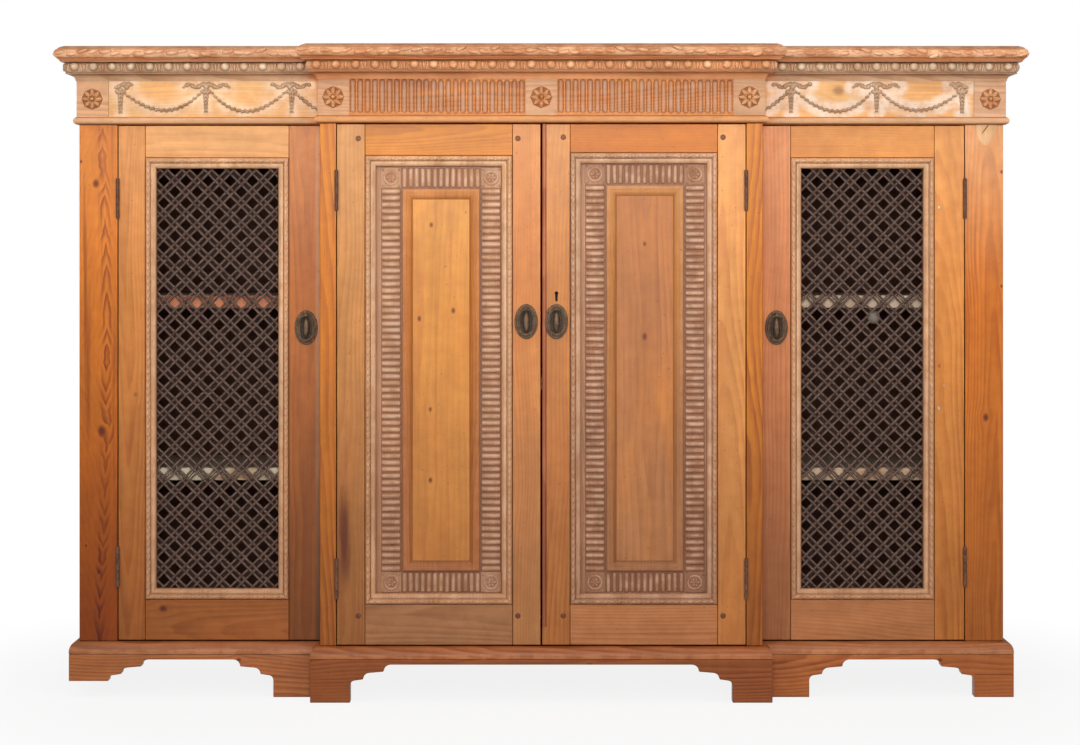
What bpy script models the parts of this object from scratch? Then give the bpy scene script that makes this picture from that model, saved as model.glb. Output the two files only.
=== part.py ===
"""Breakfront pine side cabinet with grilled wing doors, carved centre doors and a bracket plinth.

Metres, +Z up, +Y to the back. The origin is on the floor, under the middle of the cabinet's box.
"""

import math

import bmesh
import bpy
from mathutils import Matrix, Vector

# Clearances
FIT = 0.0003
HINGE_GAP = 0.0016
CLOSING_GAP = 0.0020
MEETING_GAP = 0.0030
DOOR_HEIGHT_GAP = 0.0020

# Facets of a moulding's curves
CURVE_STEPS = 5

# Case
CASE_WIDTH = 1.7372
CENTRE_WIDTH = 0.8220
CASE_DEPTH = 0.4200
BREAK_DEPTH = 0.0600
END_THICKNESS = 0.0200
PARTITION_THICKNESS = 0.0200
BOTTOM_THICKNESS = 0.0224
TOP_THICKNESS = 0.0240
STILE_THICKNESS = 0.0220
END_STILE_WIDTH = 0.0718
CENTRE_STILE_WIDTH = 0.0300
BACK_THICKNESS = 0.0120
BACK_REBATE = 0.0100
BACK_BOARD_COUNT = 11
BACK_GROOVE = 0.0025

# Shelves
SHELF_THICKNESS = 0.0240
SHELF_SETBACK = 0.0200
SHELF_HOUSING = 0.0060
UPPER_SHELF_TOP = 0.7520
LOWER_SHELF_TOP = 0.4250
CENTRE_SHELF_TOP = 0.6000

# Plinth
PLINTH_HEIGHT = 0.0800
PLINTH_THICKNESS = 0.0280
PLINTH_REACH = 0.0170
PLINTH_CAP_HEIGHT = 0.0224
PLINTH_CAP_FILLET = 0.0040
PLINTH_CAP_LIP = 0.0030
FOOT_WIDTH = 0.0740
FOOT_LOSS = 0.0300
BRACKET_FOOT_HEIGHT = 0.0320
BRACKET_STEPS = ((0.0000, 0.0090), (0.0150, 0.0120), (0.0260, 0.0130))
BRACKET_RUN_RISE = 0.0022

# Doors
DOOR_HEIGHT = 0.9670
DOOR_THICKNESS = 0.0240
WING_DOOR_STILE = 0.0560
WING_TOP_RAIL = 0.0600
WING_BOTTOM_RAIL = 0.0760
CENTRE_DOOR_STILE = 0.0520
CENTRE_TOP_RAIL = 0.0580
CENTRE_BOTTOM_RAIL = 0.0750

# Moulding round each door's opening
BEAD_WIDTH = 0.0200
BEAD_RISE = 0.0040
BEAD_SHOULDER = 0.0020
BEAD_INNER_DEPTH = 0.0060
BEAD_TORUS_SHARE = 0.34
BEAD_SLOPE_SHARE = 0.72

# Grille
GRILLE_LAP = 0.0080
GRILLE_DEPTH = 0.0050
GRILLE_BAR = 0.0155
GRILLE_COLUMNS = 6
GRILLE_ROWS = 20

# Carved panel
PANEL_THICKNESS = 0.0110
BAND_WIDTH = 0.0330
BAND_RISE = 0.0045
BAND_SIDE_PITCH = 0.0123
BAND_END_PITCH = 0.0115
BAND_FLUTE_DEPTH = 0.0030
BAND_FLUTE_SHARE = 0.62
BAND_MARGIN = 0.0035
INNER_FRAME_GAP = 0.0060
INNER_FRAME_WIDTH = 0.0170
INNER_FRAME_RISE = 0.0075
CORNER_ROSETTE = 0.0200
CORNER_ROSETTE_RISE = 0.0030
CORNER_ROSETTE_SIDES = 10

# Frieze
FRIEZE_HEIGHT = 0.1217
FRIEZE_THICKNESS = 0.0260
FRIEZE_PROUD = 0.0045
BLOCK_WIDTH = 0.0590
ROSETTE_WIDTH = 0.0460
ROSETTE_RISE = 0.0060
ROSETTE_SINK = 0.0020
ROSETTE_SIDES = 16
ROSETTE_SHAPE = ((0.0, 1.0), (0.2, 0.4), (0.62, 0.75), (1.0, 0.0))
FRIEZE_FLUTE_PITCH = 0.0136
FRIEZE_FLUTE_SHARE = 0.66
FRIEZE_FLUTE_DEPTH = 0.0032
FRIEZE_FLUTE_FLAT = 0.5
FRIEZE_FLUTE_MARGIN = 0.0070

# Mouldings round the top
ASTRAGAL_HEIGHT = 0.0140
ASTRAGAL_REACH = 0.0100
BED_HEIGHT = 0.0340
BED_COVE_REACH = 0.0220
BED_COVE_HEIGHT = 0.0160
BED_BEAD_REACH = 0.0270
CORNICE_HEIGHT = 0.0300
CORNICE_REACH = 0.0420
CORNICE_FOOT = 0.0310
CORNICE_TOP_EDGE = 0.0240
CORNICE_BELLY = 0.0140

# Butt hinges
HINGE_LENGTH = 0.0760
HINGE_BARREL_RADIUS = 0.0034
HINGE_BARREL_SIDES = 12
HINGE_STANDOFF = 0.0040
HINGE_LEAF = 0.0010
HINGE_LEAF_DEPTH = 0.0200
WING_HINGE_INSET = (0.1370, 0.1380)
CENTRE_HINGE_INSET = (0.1230, 0.1230)

# Ring pulls
PULL_WIDTH = 0.0430
PULL_HEIGHT = 0.0660
PULL_PLATE = 0.0025
PULL_BOSS_SHARE = 0.42
PULL_BOSS_RISE = 0.0060
PULL_SIDES = 18
PULL_LUG_WIDTH = 0.0046
PULL_LUG_RADIUS = 0.0045
PULL_PIVOT_RISE = 0.0235
PULL_PIVOT_OUT = 0.0050
RING_WIDTH = 0.0330
RING_HEIGHT = 0.0490
RING_RADIUS = 0.0020
RING_POINTS = 18
WING_PULL_INSET = 0.0290
WING_PULL_HEIGHT = 0.6920
CENTRE_PULL_INSET = 0.0280
CENTRE_PULL_HEIGHT = 0.7050

# Cupboard lock
LOCK_WIDTH = 0.0440
LOCK_HEIGHT = 0.0620
LOCK_DEPTH = 0.0110
LOCK_CENTRE_HEIGHT = 0.7530
BOLT_LENGTH = 0.0300
BOLT_HEIGHT = 0.0100
BOLT_THICKNESS = 0.0050
BOLT_THROW = 0.0090
BOLT_CHANNEL = 0.0400
KEYHOLE_INSET = 0.0270
KEYHOLE_RADIUS = 0.0027
KEYHOLE_SLOT = 0.0022
KEYHOLE_DROP = 0.0100

# Levels and planes that follow from the sizes above
BACK_Y = (CASE_DEPTH + CORNICE_REACH) / 2
CENTRE_Y = BACK_Y - CASE_DEPTH
WING_Y = CENTRE_Y + BREAK_DEPTH
INNER_BACK_Y = BACK_Y - BACK_THICKNESS
CASE_HALF = CASE_WIDTH / 2
CENTRE_HALF = CENTRE_WIDTH / 2
FLOOR_TOP = PLINTH_HEIGHT + FIT + BOTTOM_THICKNESS
CASE_FOOT = FLOOR_TOP + FIT
DOOR_FOOT = FLOOR_TOP + DOOR_HEIGHT_GAP
DOOR_TOP = DOOR_FOOT + DOOR_HEIGHT
FRIEZE_FOOT = DOOR_TOP + DOOR_HEIGHT_GAP
FRIEZE_TOP = FRIEZE_FOOT + FRIEZE_HEIGHT
TOP_FOOT = FRIEZE_TOP + FIT
TOP_LEVEL = TOP_FOOT + TOP_THICKNESS
CORNICE_LEVEL = TOP_LEVEL - CORNICE_HEIGHT
BED_LEVEL = CORNICE_LEVEL - FIT - BED_HEIGHT
ROSETTE_LEVEL = (FRIEZE_FOOT + ASTRAGAL_HEIGHT + BED_LEVEL) / 2

# Planes: the outline's own x, y and depth, as directions of the cabinet
PLAN = Matrix.Identity(3)
FRONT = Matrix(((1, 0, 0), (0, 0, -1), (0, 1, 0)))
SIDE = Matrix(((0, 0, 1), (1, 0, 0), (0, 1, 0)))
UPRIGHT = Matrix(((0, 0, -1), (0, 1, 0), (1, 0, 0)))


class Shop:
    """The collections and finishes that the pieces share."""

    def __init__(self):
        for old in list(bpy.data.objects):
            bpy.data.objects.remove(old, do_unlink=True)
        self.parts = self.collection("side_cabinet")
        self.cutters = self.collection("cutters")
        self.finishes = {}

    def collection(self, name):
        made = bpy.data.collections.new(name)
        bpy.context.scene.collection.children.link(made)
        return made

    def finish(self, name, colour, roughness, metallic=0.0):
        made = bpy.data.materials.new(name)
        made.use_nodes = True
        shader = made.node_tree.nodes["Principled BSDF"]
        shader.inputs["Base Color"].default_value = (*colour, 1.0)
        shader.inputs["Roughness"].default_value = roughness
        shader.inputs["Metallic"].default_value = metallic
        self.finishes[name] = made


def add(shop, name, mesh, finish=None, matrix=None):
    """A new object: a named part with a finish, or a helper form without one."""
    piece = bpy.data.objects.new(name, mesh)
    mesh.name = name
    if matrix is not None:
        piece.matrix_world = matrix
    if finish is None:
        piece.hide_render = True
        piece.display_type = "WIRE"
        shop.cutters.objects.link(piece)
    else:
        mesh.materials.clear()
        mesh.materials.append(shop.finishes[finish])
        shop.parts.objects.link(piece)
    return piece


def mesh_of(curve):
    """The mesh of a curve's evaluated shape, with its loose caps welded on."""
    holder = bpy.data.objects.new("outline", curve)
    bpy.context.scene.collection.objects.link(holder)
    graph = bpy.context.evaluated_depsgraph_get()
    mesh = bpy.data.meshes.new_from_object(holder.evaluated_get(graph))
    bpy.data.objects.remove(holder)
    bpy.data.curves.remove(curve)
    shape = bmesh.new()
    shape.from_mesh(mesh)
    bmesh.ops.remove_doubles(shape, verts=shape.verts, dist=1e-6)
    bmesh.ops.recalc_face_normals(shape, faces=shape.faces)
    shape.to_mesh(mesh)
    shape.free()
    return mesh


def placed(plane, depth):
    """The matrix that stands an outline in its plane, with its middle at the given depth."""
    return Matrix.Translation(plane @ Vector((0, 0, depth))) @ plane.to_4x4()


def board(shop, name, loops, plane, low, high, finish=None):
    """A flat outline, with holes where there is more than one loop, between two depths."""
    curve = bpy.data.curves.new(name, "CURVE")
    curve.dimensions = "2D"
    curve.fill_mode = "BOTH"
    curve.extrude = (high - low) / 2
    for loop in loops:
        spline = curve.splines.new("POLY")
        spline.points.add(len(loop) - 1)
        spline.use_cyclic_u = True
        for point, place in zip(spline.points, loop):
            point.co = (*place, 0, 1)
    return add(shop, name, mesh_of(curve), finish, placed(plane, (low + high) / 2))


def box(shop, name, low, high, finish=None):
    """A plain board between two corners."""
    low, high = Vector(low), Vector(high)
    shape = bmesh.new()
    bmesh.ops.create_cube(shape, size=1.0, matrix=Matrix.Diagonal((*(high - low), 1)))
    mesh = bpy.data.meshes.new(name)
    shape.to_mesh(mesh)
    shape.free()
    return add(shop, name, mesh, finish, Matrix.Translation((low + high) / 2))


def rectangle(left, right, foot, top):
    return [(left, foot), (right, foot), (right, top), (left, top)]


def arc(centre, radii, start, end, steps):
    """Points on an ellipse's arc, in degrees, both ends included."""
    turn = [math.radians(start + (end - start) * i / steps) for i in range(steps + 1)]
    return [(centre[0] + radii[0] * math.cos(a), centre[1] + radii[1] * math.sin(a)) for a in turn]


def turned(profile, steps):
    """The mesh of a profile (radius, height) turned once, its outer side given from the top down."""
    line = bpy.data.meshes.new("profile")
    points = [(radius, 0, height) for radius, height in profile]
    line.from_pydata(points, [(i, i + 1) for i in range(len(points) - 1)], [])
    holder = bpy.data.objects.new("profile", line)
    bpy.context.scene.collection.objects.link(holder)
    screw = holder.modifiers.new("turn", "SCREW")
    screw.steps = screw.render_steps = steps
    screw.use_merge_vertices = True
    screw.merge_threshold = 1e-6
    screw.use_smooth_shade = False
    graph = bpy.context.evaluated_depsgraph_get()
    mesh = bpy.data.meshes.new_from_object(holder.evaluated_get(graph))
    bpy.data.objects.remove(holder)
    bpy.data.meshes.remove(line)
    shape = bmesh.new()
    shape.from_mesh(mesh)
    bmesh.ops.remove_doubles(shape, verts=shape.verts, dist=1e-6)
    bmesh.ops.recalc_face_normals(shape, faces=shape.faces)
    shape.to_mesh(mesh)
    shape.free()
    return mesh


def moulding(shop, name, path, profile, plane, finish, closed=False):
    """A profile (reach, height) run along a path of right-angled corners, mitred at each one.

    The reach goes to the right of the path. The height is along the plane's depth.
    """
    corners = [Vector(place) for place in path]
    runs = [(after - before).normalized() for before, after in zip(corners, corners[1:] + corners[:1])]
    sides = [Vector((run.y, -run.x)) for run in runs]
    shape = bmesh.new()
    rings = []
    for i, corner in enumerate(corners):
        before, after = sides[i - 1], sides[i]
        if not closed and i == 0:
            before = Vector((0, 0))
        if not closed and i == len(corners) - 1:
            after = Vector((0, 0))
        lean = before + after
        ring = []
        for reach, height in profile:
            place = corner + lean * reach
            ring.append(shape.verts.new(plane @ Vector((place.x, place.y, height))))
        rings.append(ring)
    pairs = list(zip(rings, rings[1:]))
    if closed:
        pairs.append((rings[-1], rings[0]))
    else:
        shape.faces.new(rings[0])
        shape.faces.new(rings[-1])
    for here, there in pairs:
        for i in range(len(profile)):
            shape.faces.new((here[i - 1], here[i], there[i], there[i - 1]))
    bmesh.ops.recalc_face_normals(shape, faces=shape.faces)
    mesh = bpy.data.meshes.new(name)
    shape.to_mesh(mesh)
    shape.free()
    return add(shop, name, mesh, finish)


def combine(piece, operation, *others):
    """Boolean modifiers that join or cut the piece by each of the other forms."""
    for other in others:
        step = piece.modifiers.new(other.name, "BOOLEAN")
        step.operation = operation
        step.solver = "EXACT"
        step.object = other


def carry(parent, *pieces):
    """Hang pieces on an empty without moving them."""
    for piece in pieces:
        place = piece.matrix_world.copy()
        piece.parent = parent
        piece.matrix_parent_inverse = parent.matrix_world.inverted()
        piece.matrix_world = place


def pivot(shop, name, place):
    """An empty on a joint's axis."""
    empty = bpy.data.objects.new(name, None)
    empty.matrix_world = Matrix.Translation(place)
    empty.empty_display_size = 0.05
    shop.parts.objects.link(empty)
    return empty


def sides():
    """The two hands of the cabinet, as a name and a sign of x."""
    return (("left", -1), ("right", 1))


def mirrored(sign, left, right):
    """Two x values of the right-hand side, in rising order on the hand that is asked for."""
    return (left, right) if sign > 0 else (-right, -left)


def front_path(reach=0.0):
    """The plan of the case's front and ends, from back left to back right."""
    outer, centre = CASE_HALF + reach, CENTRE_HALF + reach
    wing, front = WING_Y - reach, CENTRE_Y - reach
    right = [(centre, front), (centre, wing), (outer, wing), (outer, BACK_Y)]
    return [(-x, y) for x, y in reversed(right)] + right


# Case

def build_ends(shop):
    """End panels with a rebate for the back and housings for the shelves, and the stiles before them."""
    front = WING_Y + STILE_THICKNESS + FIT
    for hand, sign in sides():
        outer, inner = sign * CASE_HALF, sign * (CASE_HALF - END_THICKNESS)
        rebate = sign * (CASE_HALF - END_THICKNESS + BACK_REBATE)
        plan = [(outer, front), (inner, front), (inner, INNER_BACK_Y), (rebate, INNER_BACK_Y),
                (rebate, BACK_Y), (outer, BACK_Y)]
        panel = board(shop, f"{hand}_end_panel", [plan], PLAN, CASE_FOOT, FRIEZE_FOOT - FIT, "pine")
        face = mirrored(sign, CASE_HALF - END_THICKNESS - SHELF_HOUSING,
                        CASE_HALF - END_THICKNESS + SHELF_HOUSING)
        for level, top in (("upper", UPPER_SHELF_TOP), ("lower", LOWER_SHELF_TOP)):
            combine(panel, "DIFFERENCE", housing(shop, f"{hand}_end_{level}_housing", face, top, WING_Y))
        stile = mirrored(sign, CASE_HALF - END_STILE_WIDTH, CASE_HALF)
        box(shop, f"{hand}_end_stile", (stile[0], WING_Y, CASE_FOOT),
            (stile[1], WING_Y + STILE_THICKNESS, FRIEZE_FOOT - FIT), "red_pine")


def housing(shop, name, span, top, face):
    """The form that cuts a shelf's housing, from the shelf's front to past the back."""
    return box(shop, name, (span[0], shelf_front(face) - FIT, top - SHELF_THICKNESS - FIT),
               (span[1], BACK_Y + SHELF_HOUSING, top + FIT))


def shelf_front(face):
    """Where a shelf's front edge lies behind the doors of that face."""
    return face + DOOR_THICKNESS + SHELF_SETBACK


def build_partitions(shop):
    """Upright partitions at the break, notched under the centre frieze, and the stiles before them."""
    front = CENTRE_Y + STILE_THICKNESS + FIT
    notch = WING_Y + FRIEZE_THICKNESS - FRIEZE_PROUD + FIT
    outline = [(front, CASE_FOOT), (INNER_BACK_Y, CASE_FOOT), (INNER_BACK_Y, FRIEZE_TOP),
               (notch, FRIEZE_TOP), (notch, FRIEZE_FOOT - FIT), (front, FRIEZE_FOOT - FIT)]
    inner = CENTRE_HALF - PARTITION_THICKNESS
    for hand, sign in sides():
        span = mirrored(sign, inner, CENTRE_HALF)
        partition = board(shop, f"{hand}_partition", [outline], SIDE, *span, "pine")
        outer_face = mirrored(sign, CENTRE_HALF - SHELF_HOUSING, CENTRE_HALF + SHELF_HOUSING)
        inner_face = mirrored(sign, inner - SHELF_HOUSING, inner + SHELF_HOUSING)
        combine(
            partition, "DIFFERENCE",
            housing(shop, f"{hand}_wing_upper_housing", outer_face, UPPER_SHELF_TOP, WING_Y),
            housing(shop, f"{hand}_wing_lower_housing", outer_face, LOWER_SHELF_TOP, WING_Y),
            housing(shop, f"{hand}_centre_housing", inner_face, CENTRE_SHELF_TOP, CENTRE_Y),
        )
        stile = mirrored(sign, CENTRE_HALF - CENTRE_STILE_WIDTH, CENTRE_HALF)
        box(shop, f"{hand}_centre_stile", (stile[0], CENTRE_Y, CASE_FOOT),
            (stile[1], CENTRE_Y + STILE_THICKNESS, FRIEZE_FOOT - FIT), "red_pine")


def build_boards(shop):
    """The bottom, the top and the grooved back."""
    board(shop, "bottom_board", [front_path()], PLAN, PLINTH_HEIGHT + FIT, FLOOR_TOP, "pine")
    board(shop, "top_board", [front_path(FRIEZE_PROUD)], PLAN, TOP_FOOT, TOP_LEVEL, "pine")
    half = CASE_HALF - END_THICKNESS + BACK_REBATE - FIT
    near, far = INNER_BACK_Y + FIT, BACK_Y
    joints = [half - 2 * half * i / BACK_BOARD_COUNT for i in range(1, BACK_BOARD_COUNT)]
    outline = [(-half, near), (half, near), (half, far)]
    for x in joints:
        outline += [(x + BACK_GROOVE, far), (x, far - BACK_GROOVE), (x - BACK_GROOVE, far)]
    outline.append((-half, far))
    board(shop, "back_boards", [outline], PLAN, CASE_FOOT, FRIEZE_TOP, "pine")


def build_shelves(shop):
    """Shelves housed in the ends and partitions."""
    tongue = SHELF_HOUSING - FIT
    wing = (CENTRE_HALF - tongue, CASE_HALF - END_THICKNESS + tongue)
    for hand, sign in sides():
        span = mirrored(sign, *wing)
        for level, top in (("upper", UPPER_SHELF_TOP), ("lower", LOWER_SHELF_TOP)):
            box(shop, f"{hand}_{level}_shelf", (span[0], shelf_front(WING_Y), top - SHELF_THICKNESS),
                (span[1], INNER_BACK_Y, top), "shelf_pine")
    half = CENTRE_HALF - PARTITION_THICKNESS + tongue
    box(shop, "centre_shelf", (-half, shelf_front(CENTRE_Y), CENTRE_SHELF_TOP - SHELF_THICKNESS),
        (half, INNER_BACK_Y, CENTRE_SHELF_TOP), "shelf_pine")


# Plinth

def bracket(edge, sign):
    """A bracket foot's inner edge from the floor up to the apron, going the way the sign says."""
    points = [(edge, 0.0), (edge, BRACKET_FOOT_HEIGHT)]
    x, z = 0.0, BRACKET_FOOT_HEIGHT
    for run, cove in BRACKET_STEPS:
        if run:
            x, z = x + run, z + BRACKET_RUN_RISE
        for across, up in arc((x + cove, z), (cove, cove), 180, 90, 4):
            points.append((edge + sign * across, up))
        x, z = x + cove, z + cove
    return points


def plinth_outline(left, right, left_loss=0.0):
    """A plinth board with a bracket foot at each end and an apron between them."""
    first = bracket(left + FOOT_WIDTH, 1)
    last = bracket(right - FOOT_WIDTH, -1)
    first[0] = (first[0][0], left_loss)
    return ([(left, PLINTH_HEIGHT), (left, left_loss)] + first + last[::-1]
            + [(right, 0.0), (right, PLINTH_HEIGHT)])


def build_plinth(shop):
    """The plinth's boards, the returns at the break, and the moulding along their top."""
    outer, centre = CASE_HALF + PLINTH_REACH, CENTRE_HALF + PLINTH_REACH
    wing_face, centre_face = WING_Y - PLINTH_REACH, CENTRE_Y - PLINTH_REACH
    board(shop, "left_plinth_front", [plinth_outline(-outer, -centre - FIT, FOOT_LOSS)], FRONT,
          -wing_face - PLINTH_THICKNESS, -wing_face, "dark_pine")
    board(shop, "right_plinth_front", [plinth_outline(centre + FIT, outer)], FRONT,
          -wing_face - PLINTH_THICKNESS, -wing_face, "dark_pine")
    middle = board(shop, "centre_plinth_front", [plinth_outline(-centre, centre)], FRONT,
                   -centre_face - PLINTH_THICKNESS, -centre_face, "dark_pine")
    for hand, sign in sides():
        span = mirrored(sign, centre - PLINTH_THICKNESS, centre)
        block = box(shop, f"{hand}_plinth_return", (span[0], centre_face + PLINTH_THICKNESS / 2, 0),
                    (span[1], wing_face + PLINTH_THICKNESS, PLINTH_HEIGHT))
        combine(middle, "UNION", block)
        ends = mirrored(sign, outer - PLINTH_THICKNESS, outer)
        loss = FOOT_LOSS if sign < 0 else 0.0
        start = wing_face + PLINTH_THICKNESS + FIT
        outline = plinth_outline(start, BACK_Y, loss)
        board(shop, f"{hand}_plinth_side", [outline], SIDE, *ends, "dark_pine")
    foot, top = PLINTH_HEIGHT + FIT, PLINTH_HEIGHT + FIT + PLINTH_CAP_HEIGHT
    shoulder = foot + PLINTH_CAP_FILLET
    round_edge = arc((PLINTH_CAP_LIP, shoulder), (PLINTH_REACH - PLINTH_CAP_LIP, top - shoulder), 0, 90,
                     CURVE_STEPS)
    profile = [(FIT, foot), (PLINTH_REACH, foot)] + round_edge + [(FIT, top)]
    moulding(shop, "plinth_moulding", front_path(), profile, PLAN, "dark_pine")


# Frieze and the mouldings over it

def rosette(shop, name, x, z, face, width, rise, sink, steps):
    """A turned patera: a sunk dish with a raised rim and a round boss, set on a front face."""
    radius = width / 2
    profile = [(across * radius, up * rise) for across, up in ROSETTE_SHAPE] + [(radius, -sink), (0, -sink)]
    return add(shop, name, turned(profile, steps), None,
               Matrix.Translation((x, face, z)) @ FRONT.to_4x4())


def flute_row(left, right, pitch, share, depth, flat):
    """The outline of a row of flutes, as the comb that cuts them, before a face at height 0."""
    count = round((right - left) / pitch)
    step = (right - left) / count
    half = step * share / 2
    over = depth / 3
    lean = half * over / depth
    points = [(left, 2 * depth), (left, over)]
    for i in range(count):
        middle = left + step * (i + 0.5)
        bottom = [middle - flat * half, middle + flat * half] if flat else [middle]
        points.append((middle - half - lean, over))
        points += [(place, -depth) for place in bottom]
        points.append((middle + half + lean, over))
    return points + [(right, over), (right, 2 * depth)]


def build_frieze(shop):
    """The frieze boards with their paterae, and the flutes of the centre one."""
    back = WING_Y + FRIEZE_THICKNESS - FRIEZE_PROUD
    wing_face, centre_face = WING_Y - FRIEZE_PROUD, CENTRE_Y - FRIEZE_PROUD
    outer, centre = CASE_HALF + FRIEZE_PROUD, CENTRE_HALF + FRIEZE_PROUD
    size = (ROSETTE_WIDTH, ROSETTE_RISE, ROSETTE_SINK, ROSETTE_SIDES)
    for hand, sign in sides():
        span = mirrored(sign, centre + FIT, outer)
        front = box(shop, f"{hand}_frieze", (span[0], wing_face, FRIEZE_FOOT), (span[1], back, FRIEZE_TOP),
                    "bleached_pine")
        place = sign * (outer - BLOCK_WIDTH / 2)
        combine(front, "UNION", rosette(shop, f"{hand}_end_patera", place, ROSETTE_LEVEL, wing_face, *size))
        inner = sign * (CASE_HALF - END_THICKNESS)
        rebate = sign * (CASE_HALF - END_THICKNESS + BACK_REBATE)
        plan = [(sign * outer, back + FIT), (inner, back + FIT), (inner, INNER_BACK_Y),
                (rebate, INNER_BACK_Y), (rebate, BACK_Y), (sign * outer, BACK_Y)]
        board(shop, f"{hand}_end_frieze", [plan], PLAN, FRIEZE_FOOT, FRIEZE_TOP, "bleached_pine")
    board_back = CENTRE_Y + FRIEZE_THICKNESS - FRIEZE_PROUD
    middle = box(shop, "centre_frieze", (-centre, centre_face, FRIEZE_FOOT), (centre, board_back, FRIEZE_TOP),
                 "bleached_pine")
    for hand, sign in sides():
        span = mirrored(sign, centre - FRIEZE_THICKNESS, centre)
        combine(middle, "UNION", box(shop, f"{hand}_frieze_return",
                                     (span[0], board_back - FRIEZE_THICKNESS / 2, FRIEZE_FOOT),
                                     (span[1], back, FRIEZE_TOP)))
        ends = mirrored(sign, BLOCK_WIDTH / 2, centre - BLOCK_WIDTH)
        comb = flute_row(*ends, FRIEZE_FLUTE_PITCH, FRIEZE_FLUTE_SHARE, FRIEZE_FLUTE_DEPTH, FRIEZE_FLUTE_FLAT)
        outline = [(x, centre_face - height) for x, height in comb]
        combine(middle, "DIFFERENCE", board(shop, f"{hand}_frieze_flutes", [outline], PLAN,
                                            FRIEZE_FOOT + ASTRAGAL_HEIGHT + FRIEZE_FLUTE_MARGIN,
                                            BED_LEVEL - FRIEZE_FLUTE_MARGIN))
        place = sign * (centre - BLOCK_WIDTH / 2)
        combine(middle, "UNION", rosette(shop, f"{hand}_patera", place, ROSETTE_LEVEL, centre_face, *size))
    combine(middle, "UNION", rosette(shop, "centre_patera", 0, ROSETTE_LEVEL, centre_face, *size))


def build_cornice(shop):
    """The astragal, the bed moulding and the cornice, each run round the front and ends."""
    path = front_path()
    back = FRIEZE_PROUD + FIT
    foot, top = FRIEZE_FOOT, FRIEZE_FOOT + ASTRAGAL_HEIGHT
    bead = arc((back, (foot + top) / 2), (ASTRAGAL_REACH - back, ASTRAGAL_HEIGHT / 2), -90, 90,
               CURVE_STEPS)
    moulding(shop, "astragal_moulding", path, bead, PLAN, "pine")

    foot, top = BED_LEVEL, BED_LEVEL + BED_HEIGHT
    cove_top = foot + BED_COVE_HEIGHT
    fillet = back + 2 * FIT
    cove = arc((BED_COVE_REACH, foot), (BED_COVE_REACH - fillet, BED_COVE_HEIGHT), 180, 90, CURVE_STEPS)
    round_bead = arc((BED_COVE_REACH, (cove_top + top) / 2),
                     (BED_BEAD_REACH - BED_COVE_REACH, (top - cove_top) / 2), -90, 90, CURVE_STEPS)
    profile = [(back, foot)] + cove + round_bead[1:] + [(back, top)]
    moulding(shop, "bed_moulding", path, profile, PLAN, "pine")

    foot, top = CORNICE_LEVEL, TOP_LEVEL
    belly = top - CORNICE_BELLY
    lower = arc((CORNICE_FOOT, belly), (CORNICE_REACH - CORNICE_FOOT, belly - foot), -90, 0, CURVE_STEPS)
    upper = arc((CORNICE_TOP_EDGE, belly), (CORNICE_REACH - CORNICE_TOP_EDGE, top - belly), 0, 90,
                CURVE_STEPS)
    profile = [(back, foot)] + lower + upper[1:] + [(back, top)]
    moulding(shop, "cornice_moulding", path, profile, PLAN, "red_pine")


# Doors

class Door:
    """One door's place: its hand, its face and its edges, and the empty on its hinge axis."""

    def __init__(self, shop, name, sign, wing):
        self.name, self.sign, self.wing = name, sign, wing
        self.face = WING_Y if wing else CENTRE_Y
        stop = CASE_HALF - END_STILE_WIDTH if wing else CENTRE_HALF - CENTRE_STILE_WIDTH
        free = CENTRE_HALF + CLOSING_GAP if wing else MEETING_GAP / 2
        self.stile = WING_DOOR_STILE if wing else CENTRE_DOOR_STILE
        self.top_rail = WING_TOP_RAIL if wing else CENTRE_TOP_RAIL
        self.bottom_rail = WING_BOTTOM_RAIL if wing else CENTRE_BOTTOM_RAIL
        self.free, self.hung = free, stop - HINGE_GAP
        self.axis_x = sign * (stop - HINGE_GAP / 2)
        self.axis_y = self.face - HINGE_STANDOFF
        self.left, self.right = mirrored(sign, self.free, self.hung)
        self.pivot = pivot(shop, f"{name}_hinge_axis", (self.axis_x, self.axis_y, DOOR_FOOT))

    def opening(self, inset=0.0):
        """The frame's opening, as left, right, foot and top, drawn in by an inset."""
        return (self.left + self.stile + inset, self.right - self.stile - inset,
                DOOR_FOOT + self.bottom_rail + inset, DOOR_TOP - self.top_rail - inset)


def build_frame(shop, door):
    """The door's frame of stiles and rails."""
    outer = rectangle(door.left, door.right, DOOR_FOOT, DOOR_TOP)
    frame = board(shop, f"{door.name}_door_frame", [outer, rectangle(*door.opening())], FRONT,
                  -door.face - DOOR_THICKNESS, -door.face, "pine")
    carry(door.pivot, frame)
    return frame


def build_bead(shop, door):
    """The moulding that lines the frame's opening, a little proud of the face."""
    left, right, foot, top = door.opening(FIT)
    path = [(left, foot), (left, top), (right, top), (right, foot)]
    front = -door.face
    back = front - DOOR_THICKNESS + PANEL_THICKNESS + FIT
    half = BEAD_WIDTH * BEAD_TORUS_SHARE
    torus = arc((half, front + BEAD_SHOULDER), (half, BEAD_RISE - BEAD_SHOULDER), 180, 0, CURVE_STEPS)
    slope = [(BEAD_WIDTH * BEAD_SLOPE_SHARE, front - 0.2 * BEAD_INNER_DEPTH),
             (BEAD_WIDTH, front - BEAD_INNER_DEPTH)]
    profile = [(0, back)] + torus + slope + [(BEAD_WIDTH, back)]
    bead = moulding(shop, f"{door.name}_opening_moulding", path, profile, FRONT, "carved_pine", closed=True)
    carry(door.pivot, bead)


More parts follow.
